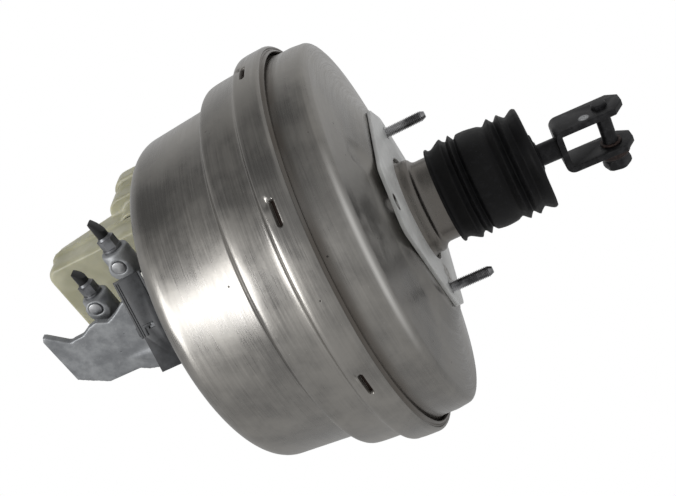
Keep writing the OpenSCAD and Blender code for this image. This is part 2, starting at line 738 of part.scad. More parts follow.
module wing_slot() {
    translate([front_x - 114.5, -9, -cast_r - 1]) for (s = [-1, 1]) {
        translate([0, 3 * s, 0]) cylinder(h = wing_t + 2, r = 1.3);
        translate([-1.3, -3, 0]) cube([2.6, 6, wing_t + 2]);
    }
}

module front_studs() {
    x0 = front_x + shell_t + reinforce_t;
    color([0.4, 0.4, 0.38]) at_front_studs() {
        bar(x0 + 0.02, x0 + 3.5, 6.5);
        bar(front_x - cast_flange_t - 13, x0 + 0.03, stud_d / 2);
    }
}

module front_nuts() {
    x1 = front_x - cast_flange_t;
    color([0.5, 0.5, 0.48]) at_front_studs() difference() {
        union() {
            hex_bar(x1 - 8, x1 - 1.5, 13);
            bar(x1 - 1.6, x1 - 0.02, 8.5);
        }
        bar(x1 - 9, x1 + 1, stud_d / 2 + 0.05);
    }
}

module pilot_seal() {
    color([0.1, 0.1, 0.1]) translate([front_x + 3.6, 0, 0]) rotate([0, 90, 0])
        rotate_extrude() translate([cast_r, 0]) circle(r = 1.45, $fn = 24);
}

prim_x = [front_x - 36, front_x + pilot_len - 4];
sec_x = [cast_front_x + 24, cast_front_x + 46];

module primary_piston() {
    r = bore_r - run_gap;
    color([0.75, 0.72, 0.6]) difference() {
        bar(prim_x[0], prim_x[1], r);
        bar(front_x - 2.3, prim_x[1] + 1, 7);
        bar(prim_x[0] - 1, front_x - 8, 9.6);
        for (x = [front_x + 2, prim_x[0] + 4]) ring(x, x + 4, bore_r + 1, bore_r - 2.6);
    }
}

module primary_seals() {
    color([0.1, 0.1, 0.1]) for (x = [front_x + 2, prim_x[0] + 4])
        turned([[bore_r - 2.5, x + 0.1], [bore_r - 0.1, x + 0.1], [bore_r - 0.02, x + 1.6],
                [bore_r - 0.5, x + 3.9], [bore_r - 2.5, x + 3.9]]);
}

module primary_spring() {
    color([0.6, 0.6, 0.6]) coil(sec_x[1] + 0.1, front_x - 8.1, 7.6, 2, 7, 14);
}

module secondary_piston() {
    r = bore_r - run_gap;
    color([0.75, 0.72, 0.6]) difference() {
        bar(sec_x[0], sec_x[1], r);
        bar(sec_x[0] - 1, sec_x[1] - 8, 9.6);
        for (x = [sec_x[1] - 6, sec_x[0] + 3]) ring(x, x + 4, bore_r + 1, bore_r - 2.6);
    }
}

module secondary_seals() {
    color([0.1, 0.1, 0.1]) for (x = [sec_x[1] - 6, sec_x[0] + 3])
        turned([[bore_r - 2.5, x + 0.1], [bore_r - 0.1, x + 0.1], [bore_r - 0.02, x + 1.6],
                [bore_r - 0.5, x + 3.9], [bore_r - 2.5, x + 3.9]]);
}

module secondary_spring() {
    color([0.6, 0.6, 0.6]) coil(cast_front_x + 7.1, sec_x[1] - 8.1, 7.6, 2, 5, 14);
}

module piston_circlip() {
    x = front_x + pilot_len - 2.9;
    color([0.3, 0.3, 0.3]) difference() {
        ring(x, x + 1.6, bore_r + 2.3, bore_r - 1.4);
        translate([x - 1, -3, 0]) cube([4, 6, 30]);
    }
}

module tube_nuts() {
    color([0.42, 0.42, 0.43]) for (i = [0, 1]) translate([outlet_x[i], outlet_end[i], 0]) rotate([90, 0, 0])
        difference() {
            union() {
                translate([0, 0, -9]) cylinder(h = 9.5, r = 5);
                translate([0, 0, 0.05]) cylinder(h = 2, r = 7.4);
                translate([0, 0, 2]) rotate([0, 0, 20]) cylinder(h = 8, d = 12 / cos(30), $fn = 6);
                translate([0, 0, 10]) cylinder(h = 2, r1 = 5.6, r2 = 4.6);
            }
            translate([0, 0, -10]) cylinder(h = 24, r = 3.25);
        }
}

// Pipe ends cut off at a slant and left to a point
module brake_pipe_stubs() {
    color([0.05, 0.05, 0.055]) for (i = [0, 1])
        translate([outlet_x[i], outlet_end[i], 0]) rotate([90, 0, 0]) intersection() {
            union() {
                translate([0, 0, -8]) cylinder(h = 30, r = 3.2);
                translate([0, 0, 12.05]) cylinder(h = 14, r = 4.4);
            }
            translate([0, 0, -9]) rotate([90, 0, 0]) linear_extrude(12, center = true) polygon([
                [-6, 0], [6, 0], [6, 23], [3, 26], [-2.5, 36 - 4 * i], [-6, 28]
            ]);
        }
}

module drilling_plugs() {
    color([0.72, 0.72, 0.72]) for (i = [0, 1])
        translate([outlet_x[i], outlet_end[i] + plug_back[i], -outlet_r - 1.6]) cylinder(h = 4.5, r = 5);
}

// Reservoir

module reservoir_grommets() {
    color([0.1, 0.1, 0.1]) for (x = spigot_x) translate([x, 0, tank_z - 26]) difference() {
        union() {
            cylinder(h = 14, r = spigot_r + 2.85);
            translate([0, 0, 13.05]) cylinder(h = 3, r = spigot_r + 5);
        }
        translate([0, 0, -1]) cylinder(h = 20, r = spigot_r + 0.05);
    }
}

// Rounded rectangle between two corners
module rounded(x0, x1, y0, y1, r) {
    translate([x0 + r, y0 + r]) offset(r = r, $fn = 24) square([x1 - x0 - 2 * r, y1 - y0 - 2 * r]);
}

module reservoir_base() {
    h = seam_h;
    color([0.86, 0.85, 0.72]) difference() {
        union() {
            translate([0, 0, tank_z]) hull() {
                linear_extrude(1)
                    rounded(tank_front_x + 1.5, tank_rear_x - 1.5, tank_y[0] + 1.5, tank_y[1] - 1.5, 9);
                translate([0, 0, 4]) linear_extrude(h - 4)
                    rounded(tank_front_x, tank_rear_x, tank_y[0], tank_y[1], 10);
            }
            translate([0, 0, tank_z + h - 2.5]) linear_extrude(2.5)
                rounded(tank_front_x - 2, tank_rear_x + 2, tank_y[0] - 2, tank_y[1] + 2, 12);
            for (x = spigot_x) translate([x, 0, tank_z - 22]) cylinder(h = 23, r = spigot_r);
        }
        translate([0, 0, tank_z + tank_t]) linear_extrude(h)
            rounded(tank_front_x + 4, tank_rear_x - 4, tank_y[0] + 4, tank_y[1] - 4, 7);
        for (x = spigot_x) translate([x, 0, tank_z - 23]) cylinder(h = 30, r = spigot_r - 1.8);
    }
    color([0.86, 0.85, 0.72]) translate([float_x, 0, tank_z + tank_t - 0.5])
        cylinder(h = 32, r = float_post_r);
}

// Upper half: a sloping roof that runs back into the filler tower
module reservoir_top() {
    color([0.88, 0.87, 0.75]) difference() {
        union() {
            translate([0, 0, seam_z]) linear_extrude(2.5)
                rounded(tank_front_x - 2, tank_rear_x + 2, tank_y[0] - 2, tank_y[1] + 2, 12);
            roof(0);
            tower(0);
            translate([filler_pos[0], filler_pos[1], tower_z - 1]) cylinder(h = 15, r = filler_r);
        }
        roof(tank_t);
        tower(tank_t);
        translate([filler_pos[0], filler_pos[1], tower_z - 12]) cylinder(h = 40, r = filler_r - tank_t);
    }
}

// Block with a sloping roof, shrunk by t on every side
module roof(t) {
    y_mid = (tank_y[0] + tank_y[1]) / 2;
    width = tank_y[1] - tank_y[0] + 20;
    intersection() {
        translate([0, 0, seam_z - 1]) linear_extrude(40)
            rounded(tank_front_x + t, tank_rear_x - t, tank_y[0] + t, tank_y[1] - t, 10 - t);
        translate([0, y_mid, 0]) rotate([90, 0, 0]) linear_extrude(width, center = true) polygon([
            [tank_front_x - 1, seam_z - (t > 0 ? 1 : 0)], [tank_front_x - 1, seam_z + 8 - t],
            [tank_front_x + 66, seam_z + 30 - t], [tank_rear_x + 1, seam_z + 30 - t],
            [tank_rear_x + 1, seam_z - (t > 0 ? 1 : 0)]
        ]);
    }
}

// Lobes and waist of the filler tower: bottom and top above the seam, reach forwards and outwards
tower_lobes = [[20, 41, 4.3, 2.7], [36, 48, 0, 4.5], [44, 59, 1, 8]];

// Filler tower, shrunk by t on every side
module tower(t) {
    translate([0, 0, seam_z + 0.5]) linear_extrude(tower_z - seam_z - 0.5 - t)
        rounded(tower_x[0] + 6 + t, tower_x[1] - 2 - t, tower_y[0] + 5 + t, tower_y[1] - 4 - t, 12 - t);
    for (lobe = tower_lobes)
        translate([0, 0, seam_z + lobe[0] + t]) linear_extrude(lobe[1] - lobe[0] - 2 * t)
            rounded(tower_x[0] - lobe[2] + t, tower_x[1] - t, tower_y[0] - lobe[3] + t, tower_y[1] - t, 14 - t);
}

module reservoir_cap() {
    color([0.08, 0.08, 0.085]) translate([filler_pos[0], filler_pos[1], tower_z]) difference() {
        union() {
            translate([0, 0, 5]) cylinder(h = 14, r = filler_r + 3.5);
            for (i = [0:23]) rotate([0, 0, 15 * i]) translate([filler_r + 3, -1, 5.5]) cube([1.6, 2, 12]);
        }
        translate([0, 0, 4]) cylinder(h = 12.5, r = filler_r + 0.4);
    }
}

module cap_seal() {
    color([0.12, 0.12, 0.12]) translate([filler_pos[0], filler_pos[1], tower_z]) difference() {
        translate([0, 0, 14.4]) cylinder(h = 1.8, r = filler_r - 0.4);
        translate([0, 0, 14]) cylinder(h = 3, r = filler_r - 6);
    }
}

module level_float() {
    color([0.2, 0.2, 0.2]) translate([float_x, 0, tank_z + tank_t + air_gap]) difference() {
        cylinder(h = 11, r = 13);
        translate([0, 0, -1]) cylinder(h = 13, r = float_post_r + air_gap);
    }
}

// Connector housing on the booster's face, below the cylinder

module housing_place() {
    translate([front_x - 27, -66, -28.5]) rotate([-23.5, 0, 0]) children();
}

module housing_bolt_place() {
    for (y = [12, 52]) housing_place() translate([0, y, 6]) children();
}

// Long moulded case with ribs along it and a recessed lower half
module connector_housing() {
    color([0.17, 0.17, 0.18]) housing_place() difference() {
        translate([-housing_w, 0, 0]) cube([housing_w, housing_len, housing_d]);
        translate([-housing_w - 1, 0.62 * housing_len, -1]) cube([3, housing_len, housing_d + 2]);
        translate([-2.6, -1, -1]) cube([0.8, housing_len + 2, 1.6]);
        for (x = [1.6, 3.2]) translate([x - housing_w, 2, -1]) cube([0.7, 0.58 * housing_len, 1.5]);
        translate([-14, 0.5 * housing_len, -1]) cube([5, 4, 4]);
        translate([3 - housing_w, 8, 3]) cube([housing_w - 6, housing_len - 16, housing_d]);
    }
}

module connector_latch() {
    color([0.13, 0.13, 0.135]) housing_place() {
        translate([5 - housing_w, 0.5 * housing_len, -0.7]) cube([7, 2.2, 0.68]);
        translate([5 - housing_w, 0.5 * housing_len, -0.7]) cube([1.6, 8, 0.68]);
        translate([-housing_w - 1.4, 0.5 * housing_len, 1]) cube([1.38, 7, housing_d - 3]);
    }
}

// Pressed bracket that carries the housing on the booster's face
module housing_bracket() {
    color([0.3, 0.3, 0.3]) housing_place() {
        translate([0.05, 2, 0]) cube([2, housing_len - 4, housing_d - 1]);
        for (y = [12, 52]) translate([2, y - 4, 0]) cube([23 - shell_t + 1.8 - 0.05, 8, 2]);
        for (y = [12, 52]) translate([24.9, y - 6, 0]) cube([2, 12, 12]);
    }
}

// Vacuum connection on the booster's face

module check_valve() {
    color([0.09, 0.09, 0.1]) translate([0, valve_pos[0], valve_pos[1]]) difference() {
        union() {
            bar(front_x - 5, front_x + 9, 6.5);
            bar(front_x - 12, front_x - 4.2, 12);
            bar(front_x - 38, front_x - 11, 5.5);
            for (x = [front_x - 34, front_x - 28]) turned([
                [5, x], [5.5, x], [6.6, x + 3.4], [5, x + 3.4]
            ]);
        }
        bar(front_x - 39, front_x - 10, 3.6);
        bar(front_x - 10.5, front_x - 5.5, 9.5);
        bar(front_x - 6, front_x + 10, 4.5);
    }
}

module check_valve_disc() {
    color([0.5, 0.2, 0.15]) translate([0, valve_pos[0], valve_pos[1]])
        bar(front_x - 10.2, front_x - 8.7, 8.5);
}

module check_valve_grommet() {
    color([0.1, 0.1, 0.1]) translate([0, valve_pos[0], valve_pos[1]]) turned([
        [6.55, front_x - 4.1], [14, front_x - 4.1], [14, front_x - 0.05], [10.9, front_x - 0.05],
        [10.9, front_x + shell_t + 0.05], [12.5, front_x + shell_t + 0.05],
        [11, front_x + 6], [6.55, front_x + 6]
    ]);
}

front_shell();
rear_shell();
front_reinforcement();
rear_reinforcement();
divider_plate();
divider_seal();
front_diaphragm();
rear_diaphragm();
front_support_plate();
rear_support_plate();
plate_retainer();
valve_body();
stop_key();
air_valve_plunger();
reaction_disc();
output_rod();
poppet_valve();
poppet_spring();
poppet_retainer();
rod_spring();
air_filter();
neck_seal();
neck_bearing();
return_spring();
input_rod();
boot();
clevis();
pivot_bolt();
pivot_bush();
pivot_washer();
mounting_gasket();
rear_studs();
master_cylinder();
front_studs();
front_nuts();
pilot_seal();
primary_piston();
primary_seals();
primary_spring();
secondary_piston();
secondary_seals();
secondary_spring();
piston_circlip();
tube_nuts();
brake_pipe_stubs();
drilling_plugs();
reservoir_grommets();
reservoir_base();
reservoir_top();
reservoir_cap();
cap_seal();
level_float();
connector_housing();
connector_latch();
housing_bracket();
check_valve();
check_valve_disc();
check_valve_grommet();
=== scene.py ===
"""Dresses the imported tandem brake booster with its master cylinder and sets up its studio.

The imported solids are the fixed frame. Shapes made here are surfaces worked out as arrays, in metres.
X runs rearwards along the booster axis, Z is up, and the origin is on the rear mounting face.
"""

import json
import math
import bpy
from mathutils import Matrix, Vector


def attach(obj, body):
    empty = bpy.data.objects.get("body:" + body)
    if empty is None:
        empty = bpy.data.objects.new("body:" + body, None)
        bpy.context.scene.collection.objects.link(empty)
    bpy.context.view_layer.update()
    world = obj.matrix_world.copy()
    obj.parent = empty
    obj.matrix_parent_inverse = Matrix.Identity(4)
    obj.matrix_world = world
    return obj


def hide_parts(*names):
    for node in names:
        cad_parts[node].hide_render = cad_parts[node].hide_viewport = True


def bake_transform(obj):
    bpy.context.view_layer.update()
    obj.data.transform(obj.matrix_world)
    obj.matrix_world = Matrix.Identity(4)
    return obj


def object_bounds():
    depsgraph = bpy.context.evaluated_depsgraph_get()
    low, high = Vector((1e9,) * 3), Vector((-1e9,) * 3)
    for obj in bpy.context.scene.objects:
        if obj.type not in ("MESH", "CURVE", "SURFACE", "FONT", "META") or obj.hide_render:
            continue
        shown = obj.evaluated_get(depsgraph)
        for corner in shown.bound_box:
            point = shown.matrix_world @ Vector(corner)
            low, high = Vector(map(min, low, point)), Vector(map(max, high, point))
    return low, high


bl_info = {
    "name": "Brake Booster Dresser",
    "version": (1, 0, 0),
    "blender": (4, 5, 0),
    "location": "3D Viewport > Sidebar > Booster",
    "description": "Surfaces and finishes for a tandem brake booster with its master cylinder",
    "category": "Object",
}

import bmesh
import bpy
import numpy as np
from mathutils import Matrix

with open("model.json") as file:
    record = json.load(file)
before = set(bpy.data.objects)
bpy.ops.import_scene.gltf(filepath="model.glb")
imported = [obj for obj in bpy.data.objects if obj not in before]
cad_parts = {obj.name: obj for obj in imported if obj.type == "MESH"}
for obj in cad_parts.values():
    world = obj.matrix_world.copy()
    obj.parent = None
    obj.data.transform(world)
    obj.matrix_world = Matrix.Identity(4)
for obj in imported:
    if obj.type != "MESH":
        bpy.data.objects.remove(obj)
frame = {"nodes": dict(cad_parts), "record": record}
CAD_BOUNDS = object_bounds()
RECORD = frame["record"]
BODY_OF = {node: body for body, nodes in RECORD["behaviour"]["bodies"].items() for node in nodes}
SLOT_OF = {part["node"]: part["material_slot"] for part in RECORD["subparts"]}

MM = 0.001
DIAGONAL = math.radians(-45)
# Chips and dark dents that the photograph shows on the steel: place and radius
CHIPS = (
    ((-0.0211, -0.1370, 0.0329), 0.0018),
    ((-0.0208, -0.1203, -0.0735), 0.0013),
    ((-0.0845, -0.1360, -0.0388), 0.0016),
    ((-0.0820, -0.1352, -0.0422), 0.0014),
)
# Middle of the rubbed patch on the rear face, which is rougher and lightened as painted sheen
RUBBED_SHEEN_PATCH = (-0.0085, -0.0560, -0.0930)
# Pale mark on the outer face of one clevis ear
CHALK_MARK = (0.1306, -0.0129, -0.0060)
# Middle of the gasket's open hole, round which the gasket is darkened as painted shade
GASKET_HOLE_SHADE = (0.0012, -0.0474, -0.0639)
# Brown stain on the gasket below the lower stud
GASKET_STAIN = (0.0025, 0.0440, -0.0290)


def linear(hex_colour):
    """Linear RGB of an sRGB colour written as #RRGGBB."""
    srgb = np.array([int(hex_colour[i : i + 2], 16) for i in (1, 3, 5)]) / 255
    low = srgb / 12.92
    high = ((srgb + 0.055) / 1.055) ** 2.4
    return tuple(float(c) for c in np.where(srgb <= 0.04045, low, high))


def rgba(hex_colour):
    """Linear RGBA of an sRGB colour."""
    return (*linear(hex_colour), 1.0)


# Surfaces


def softened(path, reach, steps=5, closed=True):
    """Path with every corner P replaced by the parabola (1-s)^2 A + 2s(1-s) P + s^2 B, where A and B lie reach before and after P."""
    path = np.asarray(path, float)
    before = np.roll(path, 1, 0) - path
    after = np.roll(path, -1, 0) - path
    len_before = np.linalg.norm(before, axis=1)[:, None]
    len_after = np.linalg.norm(after, axis=1)[:, None]
    cut = np.minimum(np.broadcast_to(np.reshape(reach, (-1, 1)), len_after.shape), 0.46 * np.minimum(len_before, len_after))
    a = path + before / len_before * cut
    b = path + after / len_after * cut
    s = np.linspace(0, 1, steps)[None, :, None]
    curve = (1 - s) ** 2 * a[:, None] + 2 * s * (1 - s) * path[:, None] + s**2 * b[:, None]
    if closed:
        return curve.reshape(-1, 2)
    return np.concatenate([path[:1], curve[1:-1].reshape(-1, 2), path[-1:]])


def walled(path, wall):
    """Closed section of a sheet: the path, and the path moved square to itself by wall, joined at both ends."""
    run = np.diff(path, axis=0)
    normal = np.stack([run[:, 1], -run[:, 0]], 1) / np.linalg.norm(run, axis=1)[:, None]
    first = np.concatenate([normal[:1], normal])
    last = np.concatenate([normal, normal[-1:]])
    mitre = first + last
    inner = path + mitre * (2 * wall / np.sum(mitre**2, axis=1))[:, None]
    return np.concatenate([path, inner[::-1]])


def arc(x, r, radius, start, end, steps):
    """Points (x, r) on a circle of that radius, from the start angle to the end angle in degrees."""
    a = np.radians(np.linspace(start, end, steps))
    return np.stack([x + radius * np.sin(a), r + radius * np.cos(a)], 1)


def turned(section, angles):
    """Grid of a section (x, r) turned about X: row i, column j is (x_i, r_i cos a_j, r_i sin a_j)."""
    x = np.broadcast_to(section[:, :1], (len(section), len(angles)))
    r = section[:, 1:2]
    return np.stack([x, r * np.cos(angles), r * np.sin(angles)], -1)


def full_turn(count):
    """That many equal steps round a circle."""
    return np.linspace(0, 2 * np.pi, count, endpoint=False)


def skin(name, grid, wrap_rows=True, wrap_columns=True, sharp=38, attributes=None):
    """Mesh object of a grid of points joined to their neighbours, with doubles merged and faces outwards.

    wrap_rows joins the last row to the first, wrap_columns the last column to the first.
    """
    rows, columns = grid.shape[:2]
    index = np.arange(rows * columns).reshape(rows, columns)
    r = np.arange(rows if wrap_rows else rows - 1)
    c = np.arange(columns if wrap_columns else columns - 1)
    r0, c0 = np.meshgrid(r, c, indexing="ij")
    r1, c1 = (r0 + 1) % rows, (c0 + 1) % columns
    quads = np.stack([index[r0, c0], index[r1, c0], index[r1, c1], index[r0, c1]], -1).reshape(-1, 4)
    points = grid.reshape(-1, 3)
    a, b, c, d = (points[quads[:, k]] for k in range(4))
    volume = np.sum(np.cross(b, c) * a) + np.sum(np.cross(c, d) * a)
    if volume < 0:
        quads = quads[:, ::-1]
    return mesh_object(name, points, quads, sharp, attributes)


def mesh_object(name, points, faces, sharp=38, attributes=None):
    """Mesh object of points and faces in the shared frame, shaded smooth up to the sharp angle in degrees."""
    mesh = bpy.data.meshes.new(name)
    mesh.from_pydata(points, [], faces.tolist())
    for key, values in (attributes or {}).items():
        mesh.attributes.new(key, "FLOAT", "POINT").data.foreach_set("value", np.ravel(values).astype(np.float32))
    work = bmesh.new()
    work.from_mesh(mesh)
    bmesh.ops.remove_doubles(work, verts=work.verts, dist=1e-6)
    work.to_mesh(mesh)
    work.free()
    mesh.shade_smooth()
    mesh.set_sharp_from_angle(angle=math.radians(sharp))
    obj = bpy.data.objects.new(name, mesh)
    bpy.context.scene.collection.objects.link(obj)
    return obj


def joined(name, objects):
    """One mesh object made of several, each keeping its own attributes."""
    with bpy.context.temp_override(active_object=objects[0], selected_editable_objects=objects):
        bpy.ops.object.join()
    objects[0].name = name
    return objects[0]


def merged_copy(node, name):
    """A copy of a CAD node with its triangles joined up and its flat faces made whole."""
    obj = bpy.data.objects.new(name, frame["nodes"][node].data.copy())
    work = bmesh.new()
    work.from_mesh(obj.data)
    bmesh.ops.remove_doubles(work, verts=work.verts, dist=2e-6)
    bmesh.ops.dissolve_limit(work, angle_limit=math.radians(0.4), verts=work.verts, edges=work.edges)
    work.to_mesh(obj.data)
    work.free()
    bpy.context.scene.collection.objects.link(obj)
    return obj


def settled(obj, sharp=40):
    """Turns the object's modifiers into its mesh and smooths its shading."""
    graph = bpy.context.evaluated_depsgraph_get()
    mesh = bpy.data.meshes.new_from_object(obj.evaluated_get(graph))
    obj.modifiers.clear()
    obj.data = mesh
    mesh.shade_smooth()
    mesh.set_sharp_from_angle(angle=math.radians(sharp))
    return obj


def eased(node, name, radius, segments=2):
    """A copy of a CAD node with its sharp edges rounded to that radius."""
    obj = merged_copy(node, name)
    bevel = obj.modifiers.new("edge radius", "BEVEL")
    bevel.width = radius
    bevel.segments = segments
    bevel.limit_method = "ANGLE"
    bevel.angle_limit = math.radians(32)
    bevel.use_clamp_overlap = True
    bevel.harden_normals = False
    return settled(obj)


def points_of(mesh):
    """The places of all vertices of a mesh, one row (x, y, z) for each."""
    points = np.empty(3 * len(mesh.vertices))
    mesh.vertices.foreach_get("co", points)
    return points.reshape(-1, 3)


def cast_copy(node, name, grain, passes):
    """A copy of a CAD node rebuilt in cells of size grain and relaxed, which gives cast or blown corners."""
    obj = merged_copy(node, name)
    remesh = obj.modifiers.new("cells", "REMESH")
    remesh.mode = "VOXEL"
    remesh.voxel_size = grain
    relax = obj.modifiers.new("relaxed", "SMOOTH")
    relax.factor = 0.6
    relax.iterations = passes
    return settled(obj, sharp=80)


def place(obj, node, material):
    """The object stands for a CAD node: it rides on its body and takes the material of its slot."""
    obj.data.materials.clear()
    obj.data.materials.append(material)
    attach(obj, BODY_OF[node])
    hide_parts(node)
    return obj


# Shader nodes


def add(tree, kind, inputs=None, **settings):
    """Adds a shader node, sets its settings, and sets or links its inputs by name or index."""
    made = tree.nodes.new(kind)
    for key, value in settings.items():
        setattr(made, key, value)
    for key, value in (inputs or {}).items():
        socket = made.inputs[key]
        if isinstance(value, bpy.types.NodeSocket):
            tree.links.new(value, socket)
        else:
            socket.default_value = value
    return made


def maths(tree, operation, a, b=0.0, c=0.0, clamp=False):
    """Output of one arithmetic node."""
    return add(tree, "ShaderNodeMath", {0: a, 1: b, 2: c}, operation=operation, use_clamp=clamp).outputs[0]


def span(tree, value, low, high, out_low=0.0, out_high=1.0):
    """The value carried smoothly from low..high to out_low..out_high."""
    made = add(
        tree,
        "ShaderNodeMapRange",
        {"Value": value, "From Min": low, "From Max": high, "To Min": out_low, "To Max": out_high},
        interpolation_type="SMOOTHSTEP",
    )
    return made.outputs["Result"]


def tint(tree, share, a, b, blend="MIX"):
    """Colour a turned to colour b by share."""
    return add(tree, "ShaderNodeMix", {0: share, 6: a, 7: b}, data_type="RGBA", blend_type=blend).outputs[2]


def noise(tree, vector, size, detail=3.0, roughness=0.55, w=None):
    """Noise whose cells measure size metres."""
    inputs = {"Vector": vector, "Scale": 1 / size, "Detail": detail, "Roughness": roughness}
    if w is not None:
        inputs["W"] = w
    return add(tree, "ShaderNodeTexNoise", inputs, noise_dimensions="3D" if w is None else "4D").outputs["Fac"]


def stretched(tree, vector, scale, turn=(0.0, 0.0, 0.0)):
    """Coordinates turned and then divided by scale, which draws a pattern out along one way."""
    inputs = {"Vector": vector, "Scale": scale, "Rotation": turn}
    return add(tree, "ShaderNodeMapping", inputs, vector_type="TEXTURE").outputs["Vector"]


def new_material(name):
    """An empty material with its shader, and its object coordinates."""
    material = bpy.data.materials.new(name)
    material.use_nodes = True
    tree = material.node_tree
    tree.nodes.clear()
    shader = tree.nodes.new("ShaderNodeBsdfPrincipled")
    output = tree.nodes.new("ShaderNodeOutputMaterial")
    tree.links.new(shader.outputs["BSDF"], output.inputs["Surface"])
    coords = tree.nodes.new("ShaderNodeTexCoord").outputs["Object"]
    return material, tree, shader, coords


def wire(tree, shader, **values):
    """Sets or links the shader's sockets; words in a name are joined by underscores."""
    for key, value in values.items():
        socket = shader.inputs[key.replace("_", " ")]
        if isinstance(value, bpy.types.NodeSocket):
            tree.links.new(value, socket)
        else:
            socket.default_value = value


def bump(tree, height, depth, strength=1.0):
    """A normal bent by a height of that depth in metres."""
    return add(tree, "ShaderNodeBump", {"Height": height, "Distance": depth, "Strength": strength}).outputs["Normal"]


def round_axis(tree, coords):
    """Station x, radius r, and the sine and cosine of the angle about X."""
    split = add(tree, "ShaderNodeSeparateXYZ", {"Vector": coords})
    x, y, z = (split.outputs[k] for k in range(3))
    r = maths(tree, "SQRT", maths(tree, "ADD", maths(tree, "MULTIPLY", y, y), maths(tree, "MULTIPLY", z, z)))
    safe = maths(tree, "MAXIMUM", r, 1e-5)
    return x, r, maths(tree, "DIVIDE", y, safe), maths(tree, "DIVIDE", z, safe)


def turning_marks(tree, coords, pitch, run, detail=2.0):
    """Streaks round the X axis: pitch apart across, and about run long."""
    x, r, cosine, sine = round_axis(tree, coords)
    share = 0.14 * pitch / run
    lengthwise = maths(tree, "MULTIPLY", cosine, share)
    across = add(tree, "ShaderNodeCombineXYZ", {"X": x, "Y": r, "Z": lengthwise}).outputs["Vector"]
    return noise(tree, across, pitch, detail, 0.6, w=maths(tree, "MULTIPLY", sine, share))


def specks(tree, coords, spacing, radius, kept):
    """Small round spots: one to a cell of that spacing, kept by chance."""
    cells = add(tree, "ShaderNodeTexVoronoi", {"Vector": coords, "Scale": 1 / spacing}, feature="F1")
    near = span(tree, cells.outputs["Distance"], radius / spacing, 0.6 * radius / spacing)
    chance = add(tree, "ShaderNodeSeparateColor", {"Color": cells.outputs["Color"]}).outputs["Red"]
    return maths(tree, "MULTIPLY", near, maths(tree, "LESS_THAN", chance, kept))


def scratches(tree, coords, turn, width, length, kept):
    """Straight tapered lines that all run one way: spots drawn out from width to length."""
    return specks(tree, stretched(tree, coords, (1.0, length / width, 1.0), turn), 18 * width, width / 2, kept)


def spot(tree, coords, centre, radius, inner=0.4):
    """One round mark at a place on the part, whole within inner of its radius and faded out at the radius."""
    away = add(tree, "ShaderNodeVectorMath", {0: coords, 1: centre}, operation="DISTANCE").outputs["Value"]
    return span(tree, away, radius, inner * radius)


# Finishes


def pressed_drum_steel(settings):
    """Steel sheet, deep drawn and bare.

    Drawing leaves fine rings round the axis, the handling leaves smudges, pits and bright scratches. Painted shade
    darkens the creases, the neck and the lance slots, a painted highlight runs along an arc of the rear shell's corner,
    and a rubbed patch is lightened as painted sheen.
    """
    material, tree, shader, coords = new_material("pressed_drum_steel")
    fine = turning_marks(tree, coords, 0.9 * MM, 34 * MM, 3.0)
    wide = turning_marks(tree, coords, 7 * MM, 120 * MM, 2.0)
    cloud = noise(tree, coords, 42 * MM, 5.0, 0.6)
    grit = noise(tree, coords, 1.4 * MM, 3.0, 0.65)
    pits = specks(tree, coords, 13 * MM, 0.8 * MM, 0.22)
    for place_on, radius in CHIPS:
        pits = maths(tree, "MAXIMUM", pits, spot(tree, coords, place_on, radius))
    lines = maths(
        tree,
        "MAXIMUM",
        scratches(tree, coords, (0.2, 0.3, 0.9), 0.22 * MM, 16 * MM, 0.8),
        scratches(tree, coords, (1.1, 0.9, 0.2), 0.2 * MM, 11 * MM, 0.8),
    )
    slot = add(tree, "ShaderNodeAttribute", attribute_name="slot").outputs["Fac"]
    grime_and_shade = add(tree, "ShaderNodeAttribute", attribute_name="grime_and_shade").outputs["Fac"]
    corner_highlight = add(tree, "ShaderNodeAttribute", attribute_name="corner_highlight").outputs["Fac"]
    shade = maths(tree, "ADD", maths(tree, "MULTIPLY", fine, 0.22), maths(tree, "MULTIPLY", cloud, 0.78))
    base = tint(tree, span(tree, shade, 0.34, 0.66), (*settings.steel_dark, 1.0), (*settings.steel_light, 1.0))
    base = tint(tree, span(tree, wide, 0.55, 0.75, 0.0, 0.15), base, rgba("#86827C"))
    # A rubbed patch on the rear face: rougher, and lightened as painted sheen
    smudge_sheen = maths(tree, "MULTIPLY", spot(tree, coords, RUBBED_SHEEN_PATCH, 44 * MM), span(tree, cloud, 0.35, 0.6, 0.6, 1.0))
    base = tint(tree, maths(tree, "MULTIPLY", smudge_sheen, 0.8), base, rgba("#B4B2AE"))
    # Painted shade in the creases under the flange and round the neck, dark brown and mottled
    base = tint(tree, maths(tree, "MULTIPLY", grime_and_shade, span(tree, cloud, 0.25, 0.6, 0.3, 0.75)), base, rgba("#5C554E"))
    base = tint(tree, maths(tree, "MULTIPLY", lines, 0.8), base, rgba("#F0EEE8"))
    # Painted highlight along an arc of the rear shell's corner
    base = tint(tree, maths(tree, "MULTIPLY", corner_highlight, 0.9), base, rgba("#F4F2EE"))
    base = tint(tree, maths(tree, "MULTIPLY", pits, 0.85), base, rgba("#2A2623"))
    # Lance slots: rust and rubber brown, deepened as painted shade of the opening
    base = tint(tree, slot, base, rgba("#2B1A10"))
    rough = maths(tree, "ADD", span(tree, cloud, 0.3, 0.7, 0.25, 0.36), span(tree, fine, 0.3, 0.7, -0.04, 0.07))
    rough = maths(tree, "ADD", rough, maths(tree, "MULTIPLY", smudge_sheen, 0.22))
    rough = maths(tree, "ADD", rough, maths(tree, "MULTIPLY", slot, 0.4))
    height = maths(tree, "ADD", maths(tree, "MULTIPLY", fine, 0.4), maths(tree, "MULTIPLY", grit, 0.6))
    height = maths(tree, "SUBTRACT", height, maths(tree, "MULTIPLY", pits, 2.0))
    metal = maths(tree, "SUBTRACT", 1.0, maths(tree, "MULTIPLY", maths(tree, "MAXIMUM", slot, pits), 0.9))
    wire(tree, shader, Base_Color=base, Metallic=metal, Roughness=rough, Normal=bump(tree, height, 0.03 * MM))
    return material


